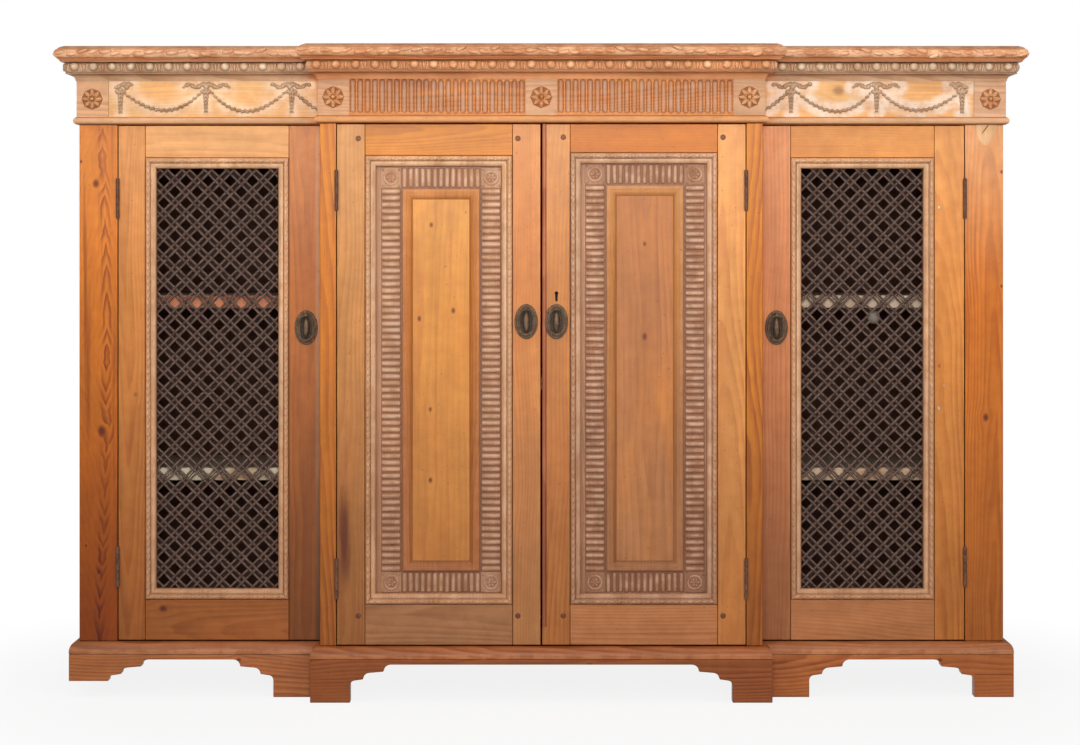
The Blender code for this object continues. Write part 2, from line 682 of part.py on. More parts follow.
def pierce(sheet):
    """Inset each cell of a lattice by half a bar and open it. Returns the holes' rims and the outer edges."""
    inset = bmesh.ops.inset_individual(sheet, faces=sheet.faces[:], thickness=GRILLE_BAR / 2, depth=0.0,
                                       use_even_offset=True)
    bars = set(inset["faces"])
    holes = [face for face in sheet.faces if face not in bars]
    rims = {vert for face in holes for vert in face.verts}
    outer = [edge for edge in sheet.edges if edge.is_boundary]
    bmesh.ops.delete(sheet, geom=holes, context="FACES_ONLY")
    return list(rims), outer


def build_grille(shop, door):
    """A diagonal lattice of ridged bars inside a rim, flat behind, pinned to the moulding's back."""
    left, right, foot, top = door.opening(BEAD_WIDTH + FIT - GRILLE_LAP)
    sheet = bmesh.new()
    bmesh.ops.create_grid(sheet, x_segments=GRILLE_COLUMNS, y_segments=GRILLE_ROWS, size=0.5)
    straight = [edge for edge in sheet.edges if not edge.is_boundary]
    bmesh.ops.poke(sheet, faces=sheet.faces[:])
    bmesh.ops.dissolve_edges(sheet, edges=straight, use_verts=False)
    bmesh.ops.scale(sheet, verts=sheet.verts, vec=(right - left, top - foot, 1))
    back = sheet.copy()
    pierce(back)
    rims, outer = pierce(sheet)
    drop = (0, 0, -GRILLE_DEPTH)
    bmesh.ops.translate(sheet, verts=rims, vec=drop)
    wall = bmesh.ops.extrude_edge_only(sheet, edges=outer)["geom"]
    bmesh.ops.translate(sheet, verts=[item for item in wall if isinstance(item, bmesh.types.BMVert)], vec=drop)
    bmesh.ops.translate(back, verts=back.verts, vec=drop)
    part = bpy.data.meshes.new(f"{door.name}_grille")
    back.to_mesh(part)
    sheet.from_mesh(part)
    bmesh.ops.remove_doubles(sheet, verts=sheet.verts, dist=1e-6)
    bmesh.ops.recalc_face_normals(sheet, faces=sheet.faces)
    sheet.to_mesh(part)
    sheet.free()
    back.free()
    height = -door.face - DOOR_THICKNESS + PANEL_THICKNESS
    place = FRONT @ Vector(((left + right) / 2, (foot + top) / 2, height))
    grille = add(shop, f"{door.name}_grille", part, "dull_brass", Matrix.Translation(place) @ FRONT.to_4x4())
    carry(door.pivot, grille)


def build_panel(shop, door):
    """The carved panel: a fluted border with corner paterae round a raised frame and a flat field."""
    base = -door.face - DOOR_THICKNESS + PANEL_THICKNESS
    panel = board(shop, f"{door.name}_panel", [rectangle(*door.opening(FIT))], FRONT,
                  base - PANEL_THICKNESS, base, "carved_pine")
    left, right, foot, top = door.opening(BEAD_WIDTH + 2 * FIT)
    inner = (left + BAND_WIDTH, right - BAND_WIDTH, foot + BAND_WIDTH, top - BAND_WIDTH)
    level = base + BAND_RISE
    band = board(shop, f"{door.name}_fluted_band",
                 [rectangle(left, right, foot, top), rectangle(*inner)], FRONT, base - BAND_RISE / 2, level)
    combine(panel, "UNION", band)
    rows = (
        ("left", UPRIGHT, (-inner[0], -left), (inner[2], inner[3]), BAND_SIDE_PITCH),
        ("right", UPRIGHT, (-right, -inner[1]), (inner[2], inner[3]), BAND_SIDE_PITCH),
        ("lower", PLAN, (foot, inner[2]), (inner[0], inner[1]), BAND_END_PITCH),
        ("upper", PLAN, (inner[3], top), (inner[0], inner[1]), BAND_END_PITCH),
    )
    for place, plane, across, along, pitch in rows:
        comb = flute_row(*along, pitch, BAND_FLUTE_SHARE, BAND_FLUTE_DEPTH, 0.0)
        outline = [(run, -level - height) for run, height in comb]
        cutter = board(shop, f"{door.name}_{place}_flutes", [outline], plane,
                       across[0] + BAND_MARGIN, across[1] - BAND_MARGIN)
        combine(panel, "DIFFERENCE", cutter)
    edge = [value + INNER_FRAME_GAP * way for value, way in zip(inner, (1, -1, 1, -1))]
    path = [(edge[0], edge[2]), (edge[0], edge[3]), (edge[1], edge[3]), (edge[1], edge[2])]
    crown = base + INNER_FRAME_RISE
    profile = [(0, base - BAND_RISE / 2), (0, crown), (0.35 * INNER_FRAME_WIDTH, crown),
               (INNER_FRAME_WIDTH, base + 0.3 * INNER_FRAME_RISE), (INNER_FRAME_WIDTH, base - BAND_RISE / 2)]
    combine(panel, "UNION", moulding(shop, f"{door.name}_inner_frame", path, profile, FRONT, None, closed=True))
    half = BAND_WIDTH / 2
    corners = [(x, z) for x in (left + half, right - half) for z in (foot + half, top - half)]
    for i, (x, z) in enumerate(corners):
        combine(panel, "UNION", rosette(shop, f"{door.name}_corner_{i}", x, z, -level, CORNER_ROSETTE,
                                        CORNER_ROSETTE_RISE, BAND_RISE / 2, CORNER_ROSETTE_SIDES))
    carry(door.pivot, panel)


def build_hinges(shop, door):
    """Two butt hinges in the gap beside the door, barrels standing before the face."""
    insets = WING_HINGE_INSET if door.wing else CENTRE_HINGE_INSET
    levels = (("upper", DOOR_TOP - insets[0] - HINGE_LENGTH / 2),
              ("lower", DOOR_FOOT + insets[1] - HINGE_LENGTH / 2))
    for level, foot in levels:
        profile = [(0, HINGE_LENGTH), (HINGE_BARREL_RADIUS, HINGE_LENGTH), (HINGE_BARREL_RADIUS, 0), (0, 0)]
        barrel = add(shop, f"{door.name}_{level}_hinge", turned(profile, HINGE_BARREL_SIDES), "dull_brass",
                     Matrix.Translation((door.axis_x, door.axis_y, foot)))
        leaf = box(shop, f"{door.name}_{level}_leaf",
                   (door.axis_x - HINGE_LEAF / 2, door.axis_y, foot + FIT),
                   (door.axis_x + HINGE_LEAF / 2, door.face + HINGE_LEAF_DEPTH, foot + HINGE_LENGTH - FIT))
        combine(barrel, "UNION", leaf)


def build_pull(shop, door):
    """An oval plate with a boss and a pierced lug, and the ring that hangs in the lug."""
    inset = WING_PULL_INSET if door.wing else CENTRE_PULL_INSET - MEETING_GAP / 2
    z = WING_PULL_HEIGHT if door.wing else CENTRE_PULL_HEIGHT
    x = door.sign * (door.free + inset)
    seat = door.face - FIT
    radius = PULL_WIDTH / 2
    boss = PULL_BOSS_SHARE * radius
    profile = [(0, PULL_BOSS_RISE), (0.65 * boss, 0.8 * PULL_BOSS_RISE), (boss, 0.7 * PULL_PLATE),
               (0.86 * radius, 0.7 * PULL_PLATE), (0.94 * radius, PULL_PLATE), (radius, 0), (0, 0)]
    oval = turned(profile, PULL_SIDES)
    oval.transform(Matrix.Diagonal((1, PULL_HEIGHT / PULL_WIDTH, 1, 1)))
    plate = add(shop, f"{door.name}_pull_plate", oval, "dull_brass",
                Matrix.Translation((x, seat, z)) @ FRONT.to_4x4())
    axis_y, axis_z = seat - PULL_PLATE - PULL_PIVOT_OUT, z + PULL_PIVOT_RISE
    root = seat - PULL_PLATE / 3
    nose = arc((axis_y, axis_z), (PULL_LUG_RADIUS, PULL_LUG_RADIUS), 90, 270, 8)
    outline = [(root, axis_z + PULL_LUG_RADIUS)] + nose + [(root, axis_z - PULL_LUG_RADIUS)]
    hole = arc((axis_y, axis_z), (RING_RADIUS + FIT, RING_RADIUS + FIT), 15, 345, 11)
    lug = board(shop, f"{door.name}_pull_lug", [outline, hole], SIDE, x - PULL_LUG_WIDTH / 2,
                x + PULL_LUG_WIDTH / 2)
    combine(plate, "UNION", lug)
    carry(door.pivot, plate)

    step = 360 / RING_POINTS
    top = RING_HEIGHT / 2 * math.cos(math.radians(step / 2))
    loop = arc((0, -top), (RING_WIDTH / 2, RING_HEIGHT / 2), 90 + step / 2, 450 - step / 2, RING_POINTS - 1)
    wire = bpy.data.curves.new(f"{door.name}_ring", "CURVE")
    wire.dimensions = "3D"
    wire.bevel_depth = RING_RADIUS
    wire.bevel_resolution = 1
    spline = wire.splines.new("POLY")
    spline.points.add(len(loop) - 1)
    spline.use_cyclic_u = True
    for point, place in zip(spline.points, loop):
        point.co = (place[0], 0, place[1], 1)
    hang = Vector((x, axis_y, axis_z))
    ring = add(shop, f"{door.name}_pull_ring", mesh_of(wire), "dull_brass", Matrix.Translation(hang))
    for face in ring.data.polygons:
        face.use_smooth = True
    swing = pivot(shop, f"{door.name}_ring_axis", hang)
    carry(door.pivot, swing)
    carry(swing, ring)


def build_lock(shop, door, frame, other_frame):
    """A lock let into the back of the meeting stile, its bolt, its keyhole and the bolt's mortice."""
    back = door.face + DOOR_THICKNESS
    low, high = LOCK_CENTRE_HEIGHT - LOCK_HEIGHT / 2, LOCK_CENTRE_HEIGHT + LOCK_HEIGHT / 2
    edge = door.free
    pocket = box(shop, "lock_pocket", (edge - FIT, back - LOCK_DEPTH - FIT, low - FIT),
                 (edge + LOCK_WIDTH + FIT, back + LOCK_DEPTH, high + FIT))
    case = box(shop, "lock_case", (edge, back - LOCK_DEPTH, low), (edge + LOCK_WIDTH, back, high), "dull_brass")
    middle = back - LOCK_DEPTH / 2
    half_height, half_thickness = BOLT_HEIGHT / 2, BOLT_THICKNESS / 2
    channel = box(shop, "bolt_channel",
                  (edge - FIT, middle - half_thickness - FIT, LOCK_CENTRE_HEIGHT - half_height - FIT),
                  (edge + BOLT_CHANNEL, middle + half_thickness + FIT, LOCK_CENTRE_HEIGHT + half_height + FIT))
    combine(case, "DIFFERENCE", channel)
    bolt = box(shop, "lock_bolt",
               (edge + FIT, middle - half_thickness, LOCK_CENTRE_HEIGHT - half_height),
               (edge + FIT + BOLT_LENGTH, middle + half_thickness, LOCK_CENTRE_HEIGHT + half_height),
               "dull_brass")
    round_top = arc((edge + KEYHOLE_INSET, LOCK_CENTRE_HEIGHT + KEYHOLE_RADIUS),
                    (KEYHOLE_RADIUS, KEYHOLE_RADIUS), -60, 240, 10)
    slot = KEYHOLE_SLOT / 2
    drop = LOCK_CENTRE_HEIGHT - KEYHOLE_DROP
    outline = round_top + [(edge + KEYHOLE_INSET - slot, drop), (edge + KEYHOLE_INSET + slot, drop)]
    keyhole = board(shop, "keyhole", [outline], FRONT, -back + LOCK_DEPTH - FIT, -door.face + FIT)
    combine(frame, "DIFFERENCE", pocket, keyhole)
    mortice = box(shop, "bolt_mortice",
                  (-MEETING_GAP / 2 - BOLT_THROW, middle - half_thickness - 2 * FIT,
                   LOCK_CENTRE_HEIGHT - half_height - 2 * FIT),
                  (0, middle + half_thickness + 2 * FIT, LOCK_CENTRE_HEIGHT + half_height + 2 * FIT))
    combine(other_frame, "DIFFERENCE", mortice)
    carry(door.pivot, case, bolt)


def build_doors(shop):
    """Both wing doors with their grilles and both centre doors with their panels."""
    frames = {}
    doors = (Door(shop, "left_wing", -1, True), Door(shop, "centre_left", -1, False),
             Door(shop, "centre_right", 1, False), Door(shop, "right_wing", 1, True))
    for door in doors:
        frames[door.name] = build_frame(shop, door)
        build_bead(shop, door)
        if door.wing:
            build_grille(shop, door)
        else:
            build_panel(shop, door)
        build_hinges(shop, door)
        build_pull(shop, door)
    build_lock(shop, doors[2], frames["centre_right"], frames["centre_left"])


def main():
    shop = Shop()
    shop.finish("pine", (0.56, 0.28, 0.10), 0.45)
    shop.finish("red_pine", (0.50, 0.22, 0.08), 0.45)
    shop.finish("dark_pine", (0.40, 0.17, 0.06), 0.50)
    shop.finish("bleached_pine", (0.66, 0.40, 0.20), 0.55)
    shop.finish("carved_pine", (0.48, 0.27, 0.14), 0.55)
    shop.finish("shelf_pine", (0.52, 0.30, 0.15), 0.60)
    shop.finish("dull_brass", (0.14, 0.11, 0.08), 0.45, 0.8)
    build_ends(shop)
    build_partitions(shop)
    build_boards(shop)
    build_shelves(shop)
    build_plinth(shop)
    build_frieze(shop)
    build_cornice(shop)
    build_doors(shop)


main()
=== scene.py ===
"""Looks of a carved pine breakfront cabinet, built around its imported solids.

Metres, +Z up, +Y to the back. The wood is procedural: each board has its own heart, rings, knots
and wear.
"""

import logging
import math
import random
from dataclasses import dataclass, field, replace
from enum import Enum
from typing import Optional, Sequence

import bmesh
import bpy
import numpy as np
from mathutils import Matrix, Vector


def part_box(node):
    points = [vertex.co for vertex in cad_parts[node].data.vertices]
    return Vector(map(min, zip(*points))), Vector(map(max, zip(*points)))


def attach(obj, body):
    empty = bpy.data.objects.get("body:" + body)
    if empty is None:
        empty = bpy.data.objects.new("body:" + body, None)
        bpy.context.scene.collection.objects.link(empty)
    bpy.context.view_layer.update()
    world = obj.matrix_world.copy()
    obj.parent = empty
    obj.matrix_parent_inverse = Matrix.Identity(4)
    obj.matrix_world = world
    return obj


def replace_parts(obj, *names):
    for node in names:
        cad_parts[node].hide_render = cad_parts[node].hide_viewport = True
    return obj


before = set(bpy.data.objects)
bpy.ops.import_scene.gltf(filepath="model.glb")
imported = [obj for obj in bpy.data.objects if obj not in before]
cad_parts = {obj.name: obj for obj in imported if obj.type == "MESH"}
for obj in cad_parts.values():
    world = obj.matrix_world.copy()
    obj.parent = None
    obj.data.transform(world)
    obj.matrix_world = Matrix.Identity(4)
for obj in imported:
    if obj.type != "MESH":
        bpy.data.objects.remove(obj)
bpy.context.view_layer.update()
LOG = logging.getLogger("cabinet")

Colour = tuple[float, float, float]
Point = tuple[float, float]
Edges = tuple[float, float, float, float]
Socket = bpy.types.NodeSocket
Material = bpy.types.Material
Mesh = bpy.types.Mesh
Piece = bpy.types.Object
FIT = 0.0003
CASE = "case"
SIDES = (("left", -1), ("right", 1))


def tint(red: int, green: int, blue: int) -> Colour:
    """A colour given in 0 to 255 screen values, as linear light."""
    def linear(value: float) -> float:
        """One channel from screen value to linear light."""
        share = value / 255
        return share / 12.92 if share <= 0.04045 else ((share + 0.055) / 1.055) ** 2.4
    return linear(red), linear(green), linear(blue)


class Grain(Enum):
    """Which way a board's fibres run, its width lies and its thickness goes."""

    UP = "zxy"
    ACROSS = "xzy"
    END_UP = "zyx"
    END_ALONG = "yzx"
    FLAT = "xyz"


class Facing(Enum):
    """How a flat drawing (across, up, out) stands in the cabinet."""

    FRONT = ((1, 0, 0), (0, 0, -1), (0, 1, 0))
    PLAN = ((1, 0, 0), (0, 1, 0), (0, 0, 1))
    LEFT = ((0, 0, -1), (-1, 0, 0), (0, 1, 0))
    RIGHT = ((0, 0, 1), (1, 0, 0), (0, 1, 0))

    def matrix(self) -> Matrix:
        """The turn from the drawing to the cabinet."""
        return Matrix(self.value)


@dataclass(frozen=True)
class Knot:
    """A knot on a board's face, by its place along and across the grain.

    A low squeeze draws it out to a scar.
    """

    along: float
    across: float
    size: float
    depth: float = 1.0
    squeeze: float = 0.70


@dataclass(frozen=True)
class Growth:
    """How all the pine here grew and aged.

    Pairs of rates are waves per metre along and across the grain. Ramps are the values between
    which an effect sets in and, where given, its strength at both.
    """

    years: float = 0.0052
    heart_stray: float = 0.06
    heart_depth: Point = (0.02, 0.07)
    taper: Point = (0.010, 0.035)
    seeds: float = 50
    wander: Point = (1.7, 3.0)
    wander_reach: float = 0.06
    sway: Point = (1.1, 2.0)
    sway_reach: float = 0.05
    ripple: float = 21.0
    thread: Point = (9.0, 60.0)
    thread_share: float = 0.7
    fibre: Point = (14.0, 850.0)
    streak: Point = (1.8, 90.0)
    cloud: Point = (3.0, 9.0)
    blotch: Point = (5.0, 24.0)
    mottle: float = 38.0
    speck: float = 210.0
    knot_fray: float = 0.8
    knot_reach: float = 2.6
    knot_bend: float = -0.85
    knot_edge: Point = (0.30, 1.25)
    knot_share: float = 0.90
    vee_ramp: Edges = (0.003, 0.016, 1.0, 0.0)
    late_rise: Point = (0.15, 0.88)
    late_fall: Edges = (0.90, 1.0, 1.0, 0.0)
    line_share: float = 0.80
    line_breaks: Edges = (0.25, 0.75, 0.45, 1.0)
    flat_ramp: Point = (0.15, 0.95)
    flat_gain: float = 1.2
    cloud_ramp: Edges = (0.42, 0.78, 0.0, 0.75)
    streak_ramp: Point = (0.56, 0.78)
    streak_share: float = 0.6
    # Painted sheen: the upper part is mixed towards a pale cream, as if lit and glossy.
    sheen_ramp: Point = (0.72, 1.15)
    ground_ramp: Edges = (0.32, 0.60, 0.45, 1.0)
    wear_ramp: Edges = (0.36, 0.62, 0.2, 0.85)
    shade_parts: Colour = (0.74, 0.20, 0.32)
    shade_ramp: Edges = (0.90, 1.10, 1.0, 0.0)
    blotch_ramp: Edges = (0.30, 0.70, 0.98, 1.18)
    # Darker towards the bottom: partly painted shade for light that falls off downwards, partly age
    # and dirt.
    foot_shade_ramp: Edges = (0.02, 1.05, 1.0, 0.0)
    centre_ramp: Edges = (0.420, 0.445, 1.0, 0.0)
    # Corners found by occlusion and marked crevices darken towards one colour: dirt and painted
    # shade.
    corner_reach: float = 0.012
    corner_dirt_and_shade_ramp: Edges = (0.35, 0.90, 0.0, 0.75)
    grime_and_shade_ramp: Edges = (0.25, 0.60, 0.75, 1.0)
    speck_ramp: Edges = (0.72, 0.78, 0.0, 0.40)
    stain_blur: float = 0.0004
    gloss_parts: Colour = (-0.08, 0.14, -0.05)
    relief_parts: Colour = (0.45, 0.5, 0.6)
    relief: Point = (0.30, 0.0006)
    shine: float = 0.25
    # The pale cream of the painted sheen on the upper part.
    sheen_colour: Colour = tint(250, 206, 160)
    knot_heart: Colour = tint(112, 40, 8)
    shaded: Colour = (0.87, 0.79, 0.70)
    speck_colour: Colour = tint(84, 46, 22)


GROWTH = Growth()


@dataclass(frozen=True)
class Cut:
    """How one board was sawn from the log.

    heart is the log's centre across the board, depth its distance behind the face, taper how fast
    the face leaves it, rings the spacing of the year rings and ripple how much they ripple along
    the board. A vee gives pointed figures along the heart, and calm is the strength of the lines
    away from it.
    """

    grain: Grain
    heart: float
    depth: float
    taper: float
    seed: float
    rings: float = GROWTH.years
    bold: float = 1.0
    knots: tuple[Knot, ...] = ()
    ripple: float = 0.0
    vee: float = 0.0
    calm: float = 0.55

    @staticmethod
    def of(name: str, grain: Grain, middle: float = 0.0, bold: float = 1.0,
           knots: Sequence[Knot] = (), rings: float = GROWTH.years) -> "Cut":
        """A cut that follows from the board's name.

        Args:
            name: The board, whose name settles the chance values.
            grain: The way the fibres run.
            middle: The board's middle across the grain.
            bold: How strongly the late wood shows.
            knots: The knots on its face.
            rings: The spacing of the year rings.

        Returns:
            The cut.
        """
        draw = random.Random(name)
        heart = middle + draw.uniform(-GROWTH.heart_stray, GROWTH.heart_stray)
        depth = draw.uniform(*GROWTH.heart_depth)
        taper = draw.choice((-1, 1)) * draw.uniform(*GROWTH.taper)
        return Cut(grain, heart, depth, taper, draw.uniform(0, GROWTH.seeds), rings, bold,
                   tuple(knots))


class Tree:
    """A material's nodes, written as sums."""

    def __init__(self, name: str) -> None:
        """Start a material with one shader and the piece's own coordinates."""
        self.material = bpy.data.materials.new(name)
        self.material.use_nodes = True
        self.nodes = self.material.node_tree.nodes
        self.links = self.material.node_tree.links
        self.shader = self.nodes["Principled BSDF"]
        self.place = self.nodes.new("ShaderNodeTexCoord").outputs["Object"]
        split = self.node("ShaderNodeSeparateXYZ", self.place)
        self.axis = dict(zip("xyz", split.outputs))

    def plug(self, socket: Socket, value: object) -> None:
        """Link a socket to another one, or give it a value."""
        if isinstance(value, Socket):
            self.links.new(value, socket)
        elif isinstance(value, tuple) and socket.type == "RGBA":
            socket.default_value = (*value, 1.0)
        else:
            socket.default_value = value

    def node(self, kind: str, *values: object, **settings: object) -> bpy.types.Node:
        """Add a node.

        Args:
            kind: Its type.
            values: What goes into its sockets, in order, with None for one left as it is.
            settings: Its own choices.

        Returns:
            The node.
        """
        made = self.nodes.new(kind)
        for name, value in settings.items():
            setattr(made, name, value)
        for socket, value in zip(made.inputs, values):
            if value is not None:
                self.plug(socket, value)
        return made

    def math(self, operation: str, *values: object) -> Socket:
        """The result of one sum."""
        return self.node("ShaderNodeMath", *values, operation=operation).outputs[0]

    def chain(self, operation: str, values: Sequence[object]) -> Socket:
        """The result of the same sum over several values."""
        total = values[0]
        for value in values[1:]:
            total = self.math(operation, total, value)
        return total

    def add(self, *values: object) -> Socket:
        """The sum of several values."""
        return self.chain("ADD", values)

    def times(self, *values: object) -> Socket:
        """The product of several values."""
        return self.chain("MULTIPLY", values)

    def vector(self, x: object, y: object, z: object) -> Socket:
        """Three values as one place."""
        return self.node("ShaderNodeCombineXYZ", x, y, z).outputs[0]

    def noise(self, place: object, scale: float = 1.0, detail: float = 2.0,
              rough: float = 0.5) -> Socket:
        """A cloudy value from 0 to 1."""
        return self.node("ShaderNodeTexNoise", place, None, scale, detail, rough).outputs[0]

    def smooth(self, value: object, low: float, high: float, start: float = 0.0,
               end: float = 1.0) -> Socket:
        """The value eased from start at low to end at high."""
        return self.node("ShaderNodeMapRange", value, low, high, start, end,
                         interpolation_type="SMOOTHSTEP").outputs[0]

    def mix(self, share: object, first: object, second: object, way: str = "MIX") -> Socket:
        """Two colours mixed by a share."""
        made = self.node("ShaderNodeMix", share, data_type="RGBA", blend_type=way)
        self.plug(made.inputs[6], first)
        self.plug(made.inputs[7], second)
        return made.outputs[2]

    def glaze(self, share: object, first: object, second: object) -> Socket:
        """A colour darkened by another one, by a share."""
        return self.mix(share, first, second, "MULTIPLY")

    def scaled(self, colour: object, value: object) -> Socket:
        """A colour made lighter or darker."""
        made = self.node("ShaderNodeVectorMath", colour, operation="SCALE")
        self.plug(made.inputs["Scale"], value)
        return made.outputs[0]

    def tone(self) -> tuple[Socket, ...]:
        """The mesh's own values: dirt and painted shade in crevices, wear on edges and old pale
        ground.
        """
        carried = self.node("ShaderNodeAttribute", attribute_name="tone").outputs["Vector"]
        return tuple(self.node("ShaderNodeSeparateXYZ", carried).outputs)

    def closeness(self, reach: float) -> Socket:
        """How enclosed a point is, 0 in the open and 1 deep in a corner."""
        made = self.node("ShaderNodeAmbientOcclusion", None, reach, samples=4)
        return self.math("SUBTRACT", 1.0, made.outputs["AO"])

    def bump(self, height: object, strength: float, distance: float) -> None:
        """Give the shader a fine relief."""
        made = self.node("ShaderNodeBump", strength, distance)
        self.plug(made.inputs["Height"], height)
        self.plug(self.shader.inputs["Normal"], made.outputs[0])

    def dress(self, **values: object) -> None:
        """Set or link the shader's own sockets, with spaces written as underscores."""
        for name, value in values.items():
            self.plug(self.shader.inputs[name.replace("_", " ")], value)


class Board(Tree):
    """A board's material, with its ways along, across and through the grain."""

    def __init__(self, name: str, cut: Cut) -> None:
        """Start the material with what every board has: fibres, mottle and the mesh's tones."""
        super().__init__(name)
        self.cut = cut
        self.along, self.across, self.through = (self.axis[way] for way in cut.grain.value)
        self.fibre = self.threads(GROWTH.fibre, 0.0, 2.0)
        self.mottle = self.noise(self.place, GROWTH.mottle, 4.0, 0.6)
        self.crevice, self.wear, self.ground = self.tone()
        base, fibre, mottle = GROWTH.shade_parts
        self.shade = self.add(base, self.times(self.fibre, fibre), self.times(self.mottle, mottle))

    def clouds(self, rates: Point, shift: float, detail: float = 3.0) -> Socket:
        """A cloudy value drawn out along the grain, alike all through the board."""
        place = self.vector(self.times(self.along, rates[0]), self.times(self.across, rates[1]),
                            self.cut.seed + shift)
        return self.noise(place, 1.0, detail)

    def threads(self, rates: Point, seed: float, detail: float = 3.0) -> Socket:
        """A streaky value drawn out along the grain, different through the board."""
        place = self.vector(self.times(self.along, rates[0]), self.times(self.across, rates[1]),
                            self.add(self.times(self.through, rates[1]), seed))
        return self.noise(place, 1.0, detail)

    def swing(self, value: Socket, reach: float) -> Socket:
        """A value from 0 to 1 as a swing to both sides."""
        return self.times(self.add(value, -0.5), reach)

    def bend(self, knot: Knot, thread: Socket, offset: Socket,
             core: object) -> tuple[Socket, Socket]:
        """Lead the rings round a knot.

        Args:
            knot: The knot.
            thread: The threads that fray its edge.
            offset: The way across from the heart so far.
            core: The knots' dark cores so far.

        Returns:
            The way across and the cores with this knot.
        """
        run = self.times(self.add(self.along, -knot.along), knot.squeeze)
        side = self.add(self.across, -knot.across)
        square = self.add(self.times(run, run), self.times(side, side))
        fray = self.swing(thread, knot.size * GROWTH.knot_fray)
        far = self.add(self.math("SQRT", square), fray)
        fade = -1 / (GROWTH.knot_reach * knot.size) ** 2
        spread = self.math("EXPONENT", self.times(square, fade))
        inner, outer = GROWTH.knot_edge
        dark = self.smooth(far, inner * knot.size, outer * knot.size, knot.depth, 0.0)
        return (self.add(offset, self.times(side, spread, GROWTH.knot_bend)),
                self.math("MAXIMUM", core, dark))

    def years(self) -> tuple[Socket, Socket, object]:
        """The year rings where the board's face meets them.

        Returns:
            Their late wood, how flat they lie, and the knots' dark cores.
        """
        cut = self.cut
        wander = self.clouds(GROWTH.wander, 0.0, 2.0)
        sway = self.noise(self.vector(self.times(self.along, GROWTH.sway[0]), cut.seed + 7.0,
                                      self.times(self.across, GROWTH.sway[1])))
        thread = self.threads(GROWTH.thread, cut.seed)
        offset = self.add(self.across, -cut.heart, self.swing(wander, GROWTH.wander_reach))
        core: object = 0.0
        for knot in cut.knots:
            offset, core = self.bend(knot, thread, offset, core)
        deep = self.add(self.times(self.along, cut.taper), cut.depth,
                        self.swing(sway, GROWTH.sway_reach))
        if cut.ripple:
            place = self.vector(self.times(self.along, GROWTH.ripple), cut.seed + 21.0, 0.0)
            deep = self.add(deep, self.swing(self.noise(place), cut.ripple))
        radius = self.math("SQRT", self.add(self.times(offset, offset), self.times(deep, deep),
                                            1e-8))
        flat = self.math("DIVIDE", self.math("ABSOLUTE", deep), radius)
        if cut.vee:
            reach = self.math("ABSOLUTE", offset)
            radius = self.add(self.math("ABSOLUTE", deep), self.times(reach, cut.vee))
            flat = self.smooth(reach, *GROWTH.vee_ramp)
        phase = self.add(self.times(radius, 1 / cut.rings),
                         self.times(thread, GROWTH.thread_share))
        year = self.math("FRACT", phase)
        late = self.times(self.smooth(year, *GROWTH.late_rise),
                          self.smooth(year, *GROWTH.late_fall))
        return late, flat, core


